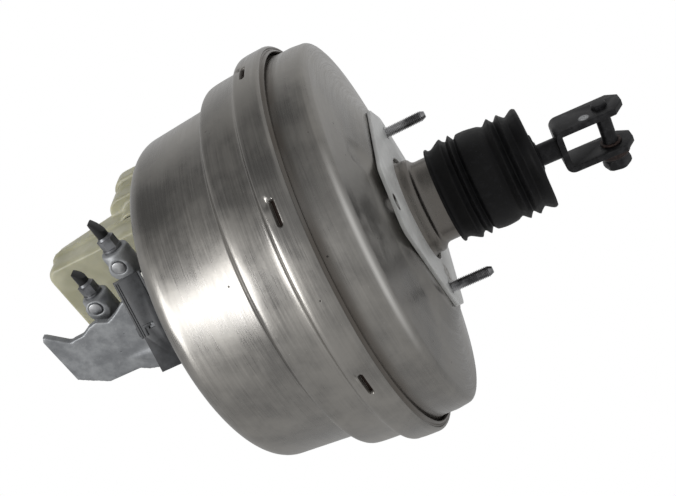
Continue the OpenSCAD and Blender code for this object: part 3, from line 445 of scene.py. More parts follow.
def plain_metal(name, light, dark, rough, grain, depth, marks=0.0, metallic=1.0):
    """A metal with cloudy tone and a fine grain; marks adds streaks turned about X."""
    material, tree, shader, coords = new_material(name)
    cloud = noise(tree, coords, 14 * MM, 4.0, 0.6)
    grit = noise(tree, coords, grain, 3.0, 0.6)
    base = tint(tree, span(tree, cloud, 0.35, 0.65), rgba(dark), rgba(light))
    roughness = span(tree, cloud, 0.3, 0.7, rough - 0.07, rough + 0.08)
    height = grit
    if marks:
        streak = turning_marks(tree, coords, marks, 12 * MM)
        height = maths(tree, "ADD", grit, streak)
        base = tint(tree, span(tree, streak, 0.4, 0.7, 0.0, 0.35), base, rgba(light))
    wire(tree, shader, Base_Color=base, Metallic=metallic, Roughness=roughness, Normal=bump(tree, height, depth))
    return material


def blasted_cast_aluminium():
    """Aluminium, die cast and shot blasted: dull grey with a fine pitted grain and darker handling marks."""
    material, tree, shader, coords = new_material("blasted_cast_aluminium")
    cloud = noise(tree, coords, 22 * MM, 5.0, 0.62)
    grit = noise(tree, coords, 0.9 * MM, 2.0, 0.6)
    pits = specks(tree, coords, 6 * MM, 0.7 * MM, 0.12)
    rub = noise(tree, stretched(tree, coords, (1.0, 3.3, 1.0), (0.0, 0.0, 0.6)), 5 * MM, 4.0, 0.7)
    base = tint(tree, span(tree, cloud, 0.35, 0.68), rgba("#85878A"), rgba("#A9ABAD"))
    base = tint(tree, span(tree, rub, 0.62, 0.8, 0.0, 0.5), base, rgba("#C9CACB"))
    base = tint(tree, maths(tree, "MULTIPLY", pits, 0.6), base, rgba("#5A5B5D"))
    rough = span(tree, cloud, 0.3, 0.7, 0.44, 0.6)
    height = maths(tree, "SUBTRACT", grit, maths(tree, "MULTIPLY", pits, 1.6))
    wire(tree, shader, Base_Color=base, Metallic=0.8, Roughness=rough, Normal=bump(tree, height, 0.09 * MM))
    return material


def blown_polypropylene():
    """Natural polypropylene, moulded and welded: cream, cloudy, lets light into its wall, aged olive in places."""
    material, tree, shader, coords = new_material("natural_polypropylene")
    cloud = noise(tree, coords, 30 * MM, 3.0, 0.5)
    ripple = noise(tree, coords, 7 * MM, 2.0, 0.5)
    base = tint(tree, span(tree, cloud, 0.35, 0.7), rgba("#A3A189"), rgba("#BFBDA6"))
    wire(
        tree,
        shader,
        Base_Color=base,
        Roughness=span(tree, ripple, 0.3, 0.7, 0.3, 0.42),
        Normal=bump(tree, ripple, 0.25 * MM),
        Subsurface_Weight=0.45,
        Subsurface_Radius=(0.006, 0.0055, 0.0035),
        Subsurface_Scale=1.0,
    )
    return material


def bellows_rubber():
    """EPDM rubber, moulded: near black and dull, with pale dust that clings to the middle band, and fold crests made
    paler partly by dust and partly as painted sheen.
    """
    material, tree, shader, coords = new_material("bellows_epdm_rubber")
    x, r, cosine, sine = round_axis(tree, coords)
    band = maths(tree, "MULTIPLY", span(tree, x, 0.0445, 0.0475), span(tree, x, 0.0655, 0.062))
    # Paler fold crests: partly dust, partly painted sheen
    crest = span(tree, r, 0.0365, 0.0383)
    dust = noise(tree, coords, 5 * MM, 5.0, 0.7)
    fleck = noise(tree, coords, 1.1 * MM, 3.0, 0.7)
    amount = maths(tree, "ADD", maths(tree, "MULTIPLY", band, 0.5), maths(tree, "MULTIPLY", crest, 0.25), clamp=True)
    dust_and_sheen = maths(tree, "MULTIPLY", amount, span(tree, dust, 0.5, 0.72))
    spots = maths(tree, "MULTIPLY", span(tree, fleck, 0.66, 0.74), maths(tree, "ADD", maths(tree, "MULTIPLY", band, 0.5), 0.1))
    base = tint(tree, span(tree, dust, 0.3, 0.7), rgba("#0B0B0C"), rgba("#161618"))
    base = tint(tree, dust_and_sheen, base, rgba("#2C2D2F"))
    base = tint(tree, spots, base, rgba("#5E6063"))
    rough = span(tree, dust, 0.3, 0.7, 0.45, 0.62)
    wire(tree, shader, Base_Color=base, Roughness=rough, Specular_IOR_Level=0.22, Normal=bump(tree, fleck, 0.05 * MM))
    return material


def plain_rubber(name, light, dark):
    """Moulded rubber: dull with a slight bloom."""
    material, tree, shader, coords = new_material(name)
    bloom = noise(tree, coords, 4 * MM, 4.0, 0.65)
    base = tint(tree, span(tree, bloom, 0.4, 0.7), rgba(dark), rgba(light))
    wire(tree, shader, Base_Color=base, Roughness=span(tree, bloom, 0.3, 0.7, 0.5, 0.68), Normal=bump(tree, bloom, 0.03 * MM))
    return material


def moulded_plastic(name, light, dark, rough, grain=0.5 * MM, scuffs=0.0):
    """A filled plastic, moulded with a fine eroded grain; scuffs are pale rubbed lines."""
    material, tree, shader, coords = new_material(name)
    cloud = noise(tree, coords, 9 * MM, 4.0, 0.6)
    grit = noise(tree, coords, grain, 2.0, 0.6)
    base = tint(tree, span(tree, cloud, 0.35, 0.68), rgba(dark), rgba(light))
    if scuffs:
        lines = scratches(tree, coords, (0.4, 0.7, 0.3), 0.2 * MM, 5 * MM, 0.8)
        base = tint(tree, maths(tree, "MULTIPLY", lines, scuffs), base, rgba("#8B8C8E"))
    wire(tree, shader, Base_Color=base, Roughness=span(tree, cloud, 0.3, 0.7, rough - 0.06, rough + 0.08), Normal=bump(tree, grit, 0.04 * MM))
    return material


def phosphated_steel():
    """Steel, phosphated and oiled: near black with a soft sheen, greyer where it is rubbed, and a chalk mark on one ear."""
    material, tree, shader, coords = new_material("phosphated_steel")
    cloud = noise(tree, coords, 6 * MM, 4.0, 0.65)
    grit = noise(tree, coords, 0.6 * MM, 3.0, 0.6)
    chalk = maths(tree, "MULTIPLY", spot(tree, coords, CHALK_MARK, 4.2 * MM, 0.6), span(tree, grit, 0.36, 0.5))
    base = tint(tree, span(tree, cloud, 0.4, 0.7), rgba("#1D1D1F"), rgba("#3A3A3C"))
    base = tint(tree, chalk, base, rgba("#B4B6B8"))
    wire(
        tree,
        shader,
        Base_Color=base,
        Metallic=0.55,
        Roughness=span(tree, cloud, 0.3, 0.7, 0.36, 0.55),
        Normal=bump(tree, grit, 0.05 * MM),
    )
    return material


def rusted_bush_steel():
    """Steel with a worn coating: dark brown rust over black, with rough blooms."""
    material, tree, shader, coords = new_material("rusted_bush_steel")
    bloom = noise(tree, coords, 3 * MM, 5.0, 0.7)
    base = tint(tree, span(tree, bloom, 0.4, 0.62), rgba("#2B2322"), rgba("#3F302B"))
    metal = span(tree, bloom, 0.45, 0.6, 0.6, 0.1)
    wire(tree, shader, Base_Color=base, Metallic=metal, Roughness=span(tree, bloom, 0.3, 0.7, 0.4, 0.75), Normal=bump(tree, bloom, 0.12 * MM))
    return material


def gasket_sheet():
    """Coated fibre sheet, punched: pale satin grey with faint stains and rubbed spots."""
    material, tree, shader, coords = new_material("coated_fibre_sheet")
    stain = noise(tree, coords, 16 * MM, 5.0, 0.65)
    rub = noise(tree, coords, 3 * MM, 4.0, 0.7)
    base = tint(tree, span(tree, stain, 0.38, 0.7), rgba("#D8D9D8"), rgba("#EAEBEA"))
    base = tint(tree, span(tree, rub, 0.66, 0.8, 0.0, 0.5), base, rgba("#8E8F8E"))
    base = tint(tree, maths(tree, "MULTIPLY", spot(tree, coords, GASKET_STAIN, 14 * MM), span(tree, rub, 0.4, 0.6)), base, rgba("#6F665E"))
    # Painted shade round the gasket's open hole
    base = tint(tree, spot(tree, coords, GASKET_HOLE_SHADE, 6.2 * MM, 0.92), base, rgba("#2C221C"))
    wire(tree, shader, Base_Color=base, Roughness=span(tree, stain, 0.3, 0.7, 0.36, 0.5), Normal=bump(tree, rub, 0.05 * MM))
    return material


def filter_foam():
    """Open-cell foam: dark grey with holes."""
    material, tree, shader, coords = new_material("filter_foam")
    cells = add(tree, "ShaderNodeTexVoronoi", {"Vector": coords, "Scale": 1 / (1.2 * MM)}, feature="F1").outputs["Distance"]
    base = tint(tree, span(tree, cells, 0.2, 0.6), rgba("#1C1C1C"), rgba("#4B4B49"))
    wire(tree, shader, Base_Color=base, Roughness=0.9, Normal=bump(tree, cells, 0.4 * MM))
    return material


def finishes():
    """One material for each of the record's slots."""
    shells = bpy.context.scene.booster_shells
    return {
        "satin_sheet_steel": pressed_drum_steel(shells),
        "pressed_steel": plain_metal("plated_sheet_steel", "#A8A7A2", "#77766F", 0.38, 1.0 * MM, 0.03 * MM),
        "black_rubber": plain_rubber("moulded_black_rubber", "#242426", "#131314"),
        "hub_plastic": moulded_plastic("phenolic_hub", "#2C2C2D", "#1E1E20", 0.5),
        "bearing_plastic": moulded_plastic("acetal_bearing", "#D8D3C4", "#C6C1B2", 0.4),
        "machined_steel": plain_metal("turned_steel", "#B9B8B4", "#94928E", 0.28, 0.6 * MM, 0.02 * MM, 0.5 * MM),
        "spring_steel": plain_metal("spring_wire", "#77787A", "#4C4D4F", 0.35, 0.5 * MM, 0.02 * MM),
        "filter_foam": filter_foam(),
        "black_phosphated_steel": phosphated_steel(),
        "rusted_steel": rusted_bush_steel(),
        "coated_gasket_sheet": gasket_sheet(),
        "zinc_plated_steel": plain_metal("zinc_nickel_thread", "#CFCFD0", "#808082", 0.36, 0.7 * MM, 0.03 * MM),
        "cast_aluminium": blasted_cast_aluminium(),
        "machined_aluminium": plain_metal("machined_aluminium", "#C2C3C4", "#9C9D9F", 0.36, 0.8 * MM, 0.03 * MM),
        "dark_steel": plain_metal("dull_union_steel", "#8C8D90", "#57585A", 0.42, 0.7 * MM, 0.04 * MM),
        "coated_pipe": moulded_plastic("torn_pipe_coating", "#1B1C1E", "#0C0C0D", 0.45, 0.8 * MM),
        "cream_polymer": blown_polypropylene(),
        "black_plastic": moulded_plastic("moulded_black_nylon", "#232325", "#151516", 0.4),
        "charcoal_plastic": moulded_plastic("glass_filled_nylon", "#46484B", "#2F3033", 0.46, 0.5 * MM, 0.5),
        "valve_disc_rubber": plain_rubber("silicone_disc", "#8C4638", "#6E3328"),
    }


FINISH = {}


# Settings


class BoosterShellSettings(bpy.types.PropertyGroup):
    """Sizes and colours of the two pressed shells."""

    front_radius: bpy.props.FloatProperty(name="Front radius", description="Radius of the front drum at its corner", default=0.129, unit="LENGTH")
    band_radius: bpy.props.FloatProperty(name="Band radius", description="Radius of the wide middle band", default=0.142, unit="LENGTH")
    flange_radius: bpy.props.FloatProperty(name="Flange radius", description="Radius of the crimped flange", default=0.1502, unit="LENGTH")
    rear_radius: bpy.props.FloatProperty(name="Rear radius", description="Radius of the rear shell's side wall", default=0.141, unit="LENGTH")
    pad_radius: bpy.props.FloatProperty(name="Flat radius", description="Radius of the flat that the gasket lies on", default=0.075, unit="LENGTH")
    neck_radius: bpy.props.FloatProperty(name="Neck radius", description="Radius of the rear neck at its end", default=0.031, unit="LENGTH")
    wall: bpy.props.FloatProperty(name="Wall", description="Thickness of the pressed sheet", default=0.0018, unit="LENGTH")
    lance_count: bpy.props.IntProperty(name="Lances", description="Crimping lances in the flange", default=8, min=1)
    lance_length: bpy.props.FloatProperty(name="Lance length", description="Length of a lance slot along the rim", default=0.017, unit="LENGTH")
    lance_width: bpy.props.FloatProperty(name="Lance width", description="Width of a lance slot", default=0.003, unit="LENGTH")
    steel_light: bpy.props.FloatVectorProperty(name="Light steel", description="Lighter tone of the bare steel", subtype="COLOR", size=3, default=linear("#A19E99"))
    steel_dark: bpy.props.FloatVectorProperty(name="Dark steel", description="Darker tone of the bare steel", subtype="COLOR", size=3, default=linear("#83817E"))


class BootSettings(bpy.types.PropertyGroup):
    """Sizes of the rubber bellows."""

    fold_radius: bpy.props.FloatProperty(name="Fold radius", description="Radius at the crest of the folds", default=0.0383, unit="LENGTH")
    wall: bpy.props.FloatProperty(name="Wall", description="Thickness of the rubber", default=0.0016, unit="LENGTH")


class ThreadSettings(bpy.types.PropertyGroup):
    """Sizes of the rear mounting studs."""

    radius: bpy.props.FloatProperty(name="Radius", description="Outer radius of the thread", default=0.004, unit="LENGTH")
    pitch: bpy.props.FloatProperty(name="Pitch", description="Distance between two threads", default=0.00125, unit="LENGTH")
    circle: bpy.props.FloatProperty(name="Stud circle", description="Distance between the two rear studs", default=0.1244, unit="LENGTH")
    length: bpy.props.FloatProperty(name="Length", description="Length that a rear stud stands out", default=0.034, unit="LENGTH")


class StudioSettings(bpy.types.PropertyGroup):
    """Camera and light."""

    lens: bpy.props.FloatProperty(name="Lens", description="Focal length of the camera in millimetres", default=45.27)
    key_power: bpy.props.FloatProperty(name="Key power", description="Power of the large soft lamp", default=7.4, unit="POWER")
    room: bpy.props.FloatProperty(name="Room light", description="Strength of the light that comes from all round", default=0.55)


# Pieces


def front_shell_path(s):
    """Outer face (x, r) of the front shell in metres, from its centre hole to its rolled rear edge."""
    front, flange_front, flange_rear, step = -160 * MM, -57 * MM, -42 * MM, -90 * MM
    r_front, r_band, r_flange = s.front_radius, s.band_radius, s.flange_radius
    rise = r_band - r_front
    corner = arc(front + 16 * MM, r_front - 16 * MM, 16 * MM, -90, 0, 10)
    side = np.array(
        [
            [step - 4.5 * MM, r_front + 0.22 * rise],
            [step - 1.5 * MM, r_front + 0.7 * rise],
            [step + 0.1 * MM, r_front + 0.93 * rise],
            [step + 1.9 * MM, r_band],
            [step + 5.5 * MM, r_band + 0.5 * MM],
            [step + 11 * MM, r_band + 0.8 * MM],
            [flange_front - 9 * MM, r_band + 1.2 * MM],
            [flange_front - 5.6 * MM, r_band + 1.9 * MM],
            [flange_front - 4.4 * MM, r_flange - 3 * MM],
            [flange_front - 3.4 * MM, r_flange - 1 * MM],
            [flange_front - 1.4 * MM, r_flange - 0.3 * MM],
            [flange_front + 2.5 * MM, r_flange],
            [flange_rear - 1.8 * MM, r_flange],
            [flange_rear - 0.4 * MM, r_flange - 0.3 * MM],
            [flange_rear + 0.8 * MM, r_flange - 1.2 * MM],
            [flange_rear + 1.1 * MM, r_flange - 2.1 * MM],
            [flange_rear + 0.1 * MM, r_flange - 2.9 * MM],
            [flange_rear + 0.4 * MM, r_flange - 3.8 * MM],
            [flange_rear + 1.9 * MM, r_flange - 4.4 * MM],
            [flange_rear + 2.5 * MM, r_flange - 5.2 * MM],
            [flange_rear + 2.6 * MM, s.rear_radius + 3.4 * MM],
        ]
    )
    return np.concatenate([[[front, 23.5 * MM]], corner, side])


def refined(path, step):
    """Path with points put in so that no run is longer than step."""
    counts = np.maximum(np.ceil(np.linalg.norm(np.diff(path, axis=0), axis=1) / step).astype(int), 1)
    place_on = np.concatenate([np.arange(n) / n + i for i, n in enumerate(counts)] + [[len(path) - 1]])
    low = np.minimum(place_on.astype(int), len(path) - 2)
    part = (place_on - low)[:, None]
    return path[low] * (1 - part) + path[low + 1] * part


class OBJECT_OT_booster_front_shell(bpy.types.Operator):
    """Front drum with its band, crimped flange and lances"""

    bl_idname = "object.booster_front_shell"
    bl_label = "Front shell"

    def execute(self, context):
        s = context.scene.booster_shells
        path = front_shell_path(s)
        outer = softened(path, 1.4 * MM, 3, closed=False)
        at = np.searchsorted(outer[:, 0], -61 * MM)
        outer = np.concatenate([outer[:at], refined(outer[at:], 0.6 * MM)])
        # The inner face is hidden, so it is coarser and leaves out the beads of the rear edge
        plain = np.delete(path, slice(-8, -2), axis=0)
        at = np.searchsorted(plain[:, 0], -61 * MM)
        plain = np.concatenate([plain[:at], refined(plain[at:], 1 * MM)])
        section = np.concatenate([outer, walled(plain, s.wall)[len(plain):]])
        near = np.linspace(-13 * MM, 13 * MM, 42) / s.flange_radius
        between = np.linspace(13 * MM / s.flange_radius, 2 * np.pi / s.lance_count - 13 * MM / s.flange_radius, 28)[1:-1]
        first = math.radians(-87)
        turns = 2 * np.pi * np.arange(s.lance_count)[:, None] / s.lance_count
        angles = (first + turns + np.concatenate([near, between])[None, :]).ravel()
        along = ((angles - first + np.pi / s.lance_count) % (2 * np.pi / s.lance_count) - np.pi / s.lance_count) * s.flange_radius
        x, a = section[:, :1], along[None, :]
        out = np.hypot(np.maximum(np.abs(a) - (s.lance_length - s.lance_width) / 2, 0), x + 52.5 * MM)
        cut = np.clip((s.lance_width / 2 + 0.25 * MM - out) / (0.5 * MM), 0, 1)
        dent = np.exp(-(((a + 8.0 * MM) / (3.0 * MM)) ** 2) - ((x + 56.2 * MM) / (1.7 * MM)) ** 2)
        ripple = 0.12 * MM * np.sin(angles * 3 + 0.6)[None, :] * np.clip((x + 150 * MM) / (60 * MM), 0, 1)
        rim = section[:, 1:2] > 0.139
        grid = turned(section, angles)
        shrink = 1 - (rim * (2.6 * MM * cut + 1.3 * MM * dent) - ripple * (section[:, 1:2] > 0.1)) / np.maximum(section[:, 1:2], 0.05)
        grid[..., 1:] *= shrink[..., None]
        # Painted shade under the rolled rear edge of the flange
        lip = (section[:, :1] > -42.1 * MM) * (section[:, 1:2] < s.flange_radius - 2.2 * MM) * np.ones(len(angles))
        # Lance slots, painted dark as shade of the opening over their rust brown
        obj = skin("front_shell_pressing", grid, attributes={"slot": rim * np.clip(cut * 1.4 - 0.2, 0, 1), "grime_and_shade": lip})
        place(obj, "front_shell", FINISH["satin_sheet_steel"])
        return {"FINISHED"}


class OBJECT_OT_booster_rear_shell(bpy.types.Operator):
    """Rear shell with its stepped side, shallow cone, mounting flat and neck"""

    bl_idname = "object.booster_rear_shell"
    bl_label = "Rear shell"

    def execute(self, context):
        s = context.scene.booster_shells
        r, n, pad = s.rear_radius, s.neck_radius, s.pad_radius
        path = np.array(
            [
                [-43.4 * MM, s.flange_radius - s.wall - 0.4 * MM],
                [-43.4 * MM, r + 3 * MM],
                [-41 * MM, r + 0.8 * MM],
                [-37 * MM, r],
                [-26.5 * MM, r],
                [-17.2 * MM, r - 1.3 * MM],
                [-15.2 * MM, r - 3 * MM],
                [-13.2 * MM, pad + 0.89 * (r - pad)],
                [-11.3 * MM, pad + 0.73 * (r - pad)],
                [-8.4 * MM, pad + 0.47 * (r - pad)],
                [-5.6 * MM, pad + 0.27 * (r - pad)],
                [-2.2 * MM, pad + 0.12 * (r - pad)],
                [-0.6 * MM, pad + 0.06 * (r - pad)],
                [0, pad],
                [0, n + 8.5 * MM],
                [0.6 * MM, n + 6.3 * MM],
                [2 * MM, n + 5 * MM],
                [4 * MM, n + 4.5 * MM],
                [8.2 * MM, n + 4.5 * MM],
                [10 * MM, n + 3.6 * MM],
                [11.2 * MM, n + 1.6 * MM],
                [12.6 * MM, n + 0.4 * MM],
                [14.5 * MM, n],
                [27 * MM, n],
                [28 * MM, n - 1 * MM],
                [28 * MM, n - 2.5 * MM],
            ]
        )
        outer = refined(softened(path, 1.2 * MM, 4, closed=False), 2.4 * MM)
        plain = refined(path, 3 * MM)
        section = np.concatenate([outer, walled(plain, s.wall)[len(plain):]])
        angles = full_turn(400)
        grid = turned(section, angles)
        y, z = grid[..., 1], grid[..., 2]
        face = np.clip((np.hypot(y, z) - 0.06) / 0.012, 0, 1) * np.clip((0.134 - np.hypot(y, z)) / 0.01, 0, 1)
        dent = np.clip((0.0135 - np.hypot((y + 0.082) / 1.05, z + 0.049)) / 0.009, 0, 1)
        dent = dent * dent * (3 - 2 * dent)
        sway = np.sin(2 * angles + 0.5)[None, :]
        grid[..., 0] -= face * (1.0 * MM * dent + 0.35 * MM * (1 + sway))
        x, radius = section[:, :1], section[:, 1:2]
        # Painted shade in the groove under the flange and round the neck
        grime_and_shade = np.clip((-33 * MM - x) / (5 * MM), 0, 1) + 0.75 * (radius < n + 8 * MM) * (x > -1 * MM)
        # Painted highlight along an arc of the corner between the side wall and the cone
        lit = np.clip(1.5 - np.abs(angles - math.radians(245)) / math.radians(20), 0, 1)
        corner_highlight = np.exp(-(((x + 16.2 * MM) / (1.5 * MM)) ** 2)) * lit
        obj = skin("rear_shell_pressing", grid, attributes={"grime_and_shade": grime_and_shade * np.ones(len(angles)), "corner_highlight": corner_highlight})
        place(obj, "rear_shell", FINISH["satin_sheet_steel"])
        return {"FINISHED"}


class OBJECT_OT_booster_boot(bpy.types.Operator):
    """Rubber bellows between the neck and the pedal rod, with a loose collar that moves with the rod"""

    bl_idname = "object.booster_boot"
    bl_label = "Boot"

    def execute(self, context):
        s = context.scene.booster_boot
        n, b, x0 = 31 * MM, s.fold_radius, 23.5 * MM
        folds = [
            (0, n + 3.0 * MM, 0.8), (0.3, n + 4.4 * MM, 0.5), (1.5, n + 4.6 * MM, 0.5), (2.6, n + 2.7 * MM, 1.2),
            (5.2, n + 2.7 * MM, 2.0), (11.4, b - 0.8 * MM, 1.0), (13.0, b - 0.1 * MM, 0.7), (14.4, b - 2.6 * MM, 0.8),
            (16.5, n + 3.2 * MM, 1.0), (18.7, b - 1.2 * MM, 0.9), (19.6, b - 0.1 * MM, 0.6), (20.6, b - 1.8 * MM, 0.8),
            (22.3, n + 2.6 * MM, 0.9), (24.8, b - 1.7 * MM, 0.9), (27.0, b - 1.4 * MM, 2.0), (31.2, b - 1.2 * MM, 3.0),
            (36.0, b - 1.7 * MM, 3.0), (40.4, b - 2.4 * MM, 1.0), (43.9, n + 3.0 * MM, 1.0), (47.4, b - 1.0 * MM, 0.9),
            (48.7, b - 0.1 * MM, 0.6), (49.8, b - 1.8 * MM, 0.7), (51.9, n + 2.8 * MM, 1.0), (54.8, b - 1.1 * MM, 0.9),
            (56.0, b - 0.3 * MM, 0.6), (57.3, b - 1.9 * MM, 0.7), (60.3, n + 2.8 * MM, 1.0), (64.8, b - 1.4 * MM, 1.0),
            (66.8, b - 0.6 * MM, 0.9), (68.9, b - 1.6 * MM, 0.8),
        ]
        rows = np.array([[x0 + f[0] * MM, f[1]] for f in folds])
        reach = np.array([f[2] for f in folds]) * MM
        wall_end = np.array([[x0 + 69.4 * MM, 33 * MM], [x0 + 69.8 * MM, 20 * MM], [x0 + 70.1 * MM, 10.5 * MM]])
        outer = softened(np.concatenate([rows, wall_end]), np.concatenate([reach, [2 * MM, 2 * MM, 0.5 * MM]]), 5, closed=False)
        inner = outer[::-1].copy()
        inner[:, 1] = np.where(inner[:, 0] > x0 + 69.2 * MM, inner[:, 1], inner[:, 1] - s.wall)
        inner[:, 0] = np.where(outer[::-1, 0] > x0 + 68.6 * MM, inner[:, 0] - s.wall, inner[:, 0])
        section = np.concatenate([outer, inner])
        angles = full_turn(256)
        grid = turned(section, angles)
        free = np.clip((grid[..., 0] - 0.028) / 0.01, 0, 1) * np.clip((0.0905 - grid[..., 0]) / 0.01, 0, 1)
        wobble = 0.22 * MM * np.sin(3 * angles + grid[..., 0] * 160) + 0.16 * MM * np.sin(7 * angles - grid[..., 0] * 90)
        radius = np.hypot(grid[..., 1], grid[..., 2])
        grid[..., 1:] *= (1 + free * wobble / radius)[..., None]
        lean = math.tan(math.radians(2)) * np.clip((grid[..., 0] - 0.03) / 0.0635, 0, 1) * 0.08
        grid[..., 1] += lean
        obj = skin("boot_bellows", grid, sharp=50)
        obj.data.materials.append(bellows_rubber())
        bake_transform(obj)
        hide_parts("boot")
        collar = np.array(
            [[92.0, 16.0], [93.4, 16.4], [93.9, 15.4], [94.1, 12.6], [94.4, 10.6], [95.0, 9.8], [95.0, 8.0], [92.0, 8.0]]
        ) * MM
        grip = skin("boot_collar", turned(softened(collar, 0.4 * MM, 4), full_turn(96)))
        swing(grip)
        grip.data.materials.append(obj.data.materials[0])
        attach(grip, "pedal_rod")
        return {"FINISHED"}


def swing(obj):
    """Turns a mesh with the pedal rod, which hangs 2 degrees off the axis about its ball."""
    centre = Matrix.Translation((0.012, 0, 0))
    obj.data.transform(centre @ Matrix.Rotation(math.radians(2), 4, "Z") @ centre.inverted())


def threaded(x0, x1, radius, pitch, tip, shank, per_turn=12, columns=40):
    """Grid of a threaded rod along X, plain and 0.5 mm thicker up to shank.

    r = radius - depth * |2 frac(x/pitch - a/2pi) - 1|, cut to a cone over its last tip metres.
    """
    depth = 0.61 * pitch
    x = np.linspace(x0, x1, int((x1 - x0) / pitch * per_turn))[:, None]
    a = full_turn(columns)[None, :]
    wave = np.abs(2 * ((x / pitch - a / (2 * np.pi)) % 1) - 1)
    r = radius - depth * np.clip(1.25 * wave - 0.12, 0, 1)
    r = np.where(x < shank, radius + 0.5 * MM, r)
    fade = np.clip((x1 - x) / tip, 0, 1)
    r = np.minimum(r, radius - 1.3 * MM * (1 - fade) - 0.4 * MM * (fade < 1))
    grid = np.stack([np.broadcast_to(x, r.shape), r * np.cos(a), r * np.sin(a)], -1)
    end = np.stack([np.full((1, columns), x1), np.zeros((1, columns)), np.zeros((1, columns))], -1)
    start = end.copy()
    start[..., 0] = x0
    return np.concatenate([start, grid, end])


class OBJECT_OT_booster_studs(bpy.types.Operator):
    """Rear mounting studs with their rolled threads"""

    bl_idname = "object.booster_studs"
    bl_label = "Mounting studs"

    def execute(self, context):
        s = context.scene.booster_threads
        made = []
        for i, side in enumerate((DIAGONAL, DIAGONAL + math.pi)):
            rod = threaded(-4.6 * MM, s.length, s.radius, s.pitch, 3.0 * MM, 2.7 * MM)
            head = turned(np.array([[-8.8, 0], [-8.8, 7.5], [-4.82, 7.5], [-4.82, 0]]) * MM, full_turn(48))
            pieces = [skin("stud_rod", rod, wrap_rows=False), skin("stud_head", head, wrap_rows=False)]
            for obj in pieces:
                obj.data.transform(Matrix.Translation((0, s.circle / 2 * math.cos(side), s.circle / 2 * math.sin(side))))
            made += pieces
        place(joined("rear_stud_threads", made), "rear_studs", FINISH["zinc_plated_steel"])
        return {"FINISHED"}


class OBJECT_OT_booster_cylinder(bpy.types.Operator):
    """Master cylinder casting, its nuts, unions, plugs and torn pipe ends"""

    bl_idname = "object.booster_cylinder"
    bl_label = "Master cylinder"

    def execute(self, context):
        place(cast_copy("master_cylinder", "cylinder_casting", 1.1 * MM, 7), "master_cylinder", FINISH["cast_aluminium"])
        place(eased("front_nuts", "cylinder_nuts", 0.5 * MM), "front_nuts", FINISH["dark_steel"])
        place(eased("tube_nuts", "pipe_unions", 0.4 * MM), "tube_nuts", FINISH["dark_steel"])
        place(eased("drilling_plugs", "drilling_plug_discs", 0.5 * MM), "drilling_plugs", FINISH["machined_aluminium"])
        place(eased("brake_pipe_stubs", "torn_pipe_ends", 0.3 * MM), "brake_pipe_stubs", FINISH["coated_pipe"])
        return {"FINISHED"}


class OBJECT_OT_booster_reservoir(bpy.types.Operator):
    """Fluid reservoir in two welded halves, with its filler cap"""

    bl_idname = "object.booster_reservoir"
    bl_label = "Reservoir"

    def execute(self, context):
        place(cast_copy("reservoir_base", "reservoir_lower", 1.2 * MM, 3), "reservoir_base", FINISH["cream_polymer"])
        place(cast_copy("reservoir_top", "reservoir_upper", 1.2 * MM, 4), "reservoir_top", FINISH["cream_polymer"])
        place(eased("reservoir_cap", "filler_cap_moulding", 0.5 * MM), "reservoir_cap", FINISH["black_plastic"])
        return {"FINISHED"}


class OBJECT_OT_booster_linkage(bpy.types.Operator):
    """Pedal rod, clevis, pivot bolt, bush and washer"""

    bl_idname = "object.booster_linkage"
    bl_label = "Pedal linkage"

    def execute(self, context):
        place(eased("clevis", "clevis_strap", 0.9 * MM, 3), "clevis", FINISH["black_phosphated_steel"])
        place(eased("pivot_bolt", "pivot_bolt_forging", 0.4 * MM), "pivot_bolt", FINISH["black_phosphated_steel"])
        place(eased("pivot_bush", "pivot_bush_turning", 0.6 * MM), "pivot_bush", FINISH["rusted_steel"])
        place(eased("pivot_washer", "pivot_washer_disc", 0.3 * MM), "pivot_washer", FINISH["black_phosphated_steel"])
        return {"FINISHED"}


class OBJECT_OT_booster_housing(bpy.types.Operator):
    """Black connector housing with its latch, and the gasket"""

    bl_idname = "object.booster_housing"
    bl_label = "Connector housing and gasket"

    def execute(self, context):
        place(eased("connector_housing", "connector_case", 0.5 * MM), "connector_housing", FINISH["charcoal_plastic"])
        place(eased("connector_latch", "connector_latch_moulding", 0.3 * MM), "connector_latch", FINISH["charcoal_plastic"])
        sheet = eased("mounting_gasket", "mounting_gasket_sheet", 0.35 * MM)
        points = points_of(sheet.data)
        away = np.hypot(points[:, 1] + 38.9 * MM, points[:, 2] + 55.9 * MM)
        points[:, 1:] -= np.exp(-((away / (17 * MM)) ** 2))[:, None] * np.array([8.5 * MM, 8 * MM])
        sheet.data.vertices.foreach_set("co", points.ravel())
        sheet.data.update()
        place(sheet, "mounting_gasket", FINISH["coated_gasket_sheet"])
        place(eased("check_valve", "check_valve_moulding", 0.4 * MM), "check_valve", FINISH["black_plastic"])
        return {"FINISHED"}


class OBJECT_OT_booster_inner_parts(bpy.types.Operator):
    """Gives every solid that still shows, and all inner pieces, the finish of its slot"""

    bl_idname = "object.booster_inner_parts"
    bl_label = "Inner parts"

    def execute(self, context):
        for name, obj in frame["nodes"].items():
            obj.data.materials.clear()
            obj.data.materials.append(FINISH[SLOT_OF[name]])
        return {"FINISHED"}


# Studio


class OBJECT_OT_booster_springs(bpy.types.Operator):
    """Coil springs that shorten as their piston moves forwards"""
    # Copies of the coil springs, each with the finish of its slot

    bl_idname = "object.booster_springs"
    bl_label = "Springs"

    def execute(self, context):
        # The front ends of the last two follow another piston, half as far and 1 mm less far than their rear ends,
        # which the last column gives in their own lengths
        for node, piston, ahead in (
            ("return_spring", "servo_piston", 0.0),
            ("secondary_spring", "secondary_piston", 0.0),
            ("primary_spring", "primary_piston", 1.0),
            ("rod_spring", "valve_plunger", 8.7),
        ):
            obj = merged_copy(node, node + "_coil")
            obj.data.materials.clear()
            obj.data.materials.append(FINISH[SLOT_OF[node]])
            along = points_of(obj.data)[:, 0]
            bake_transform(obj)
            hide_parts(node)
        return {"FINISHED"}


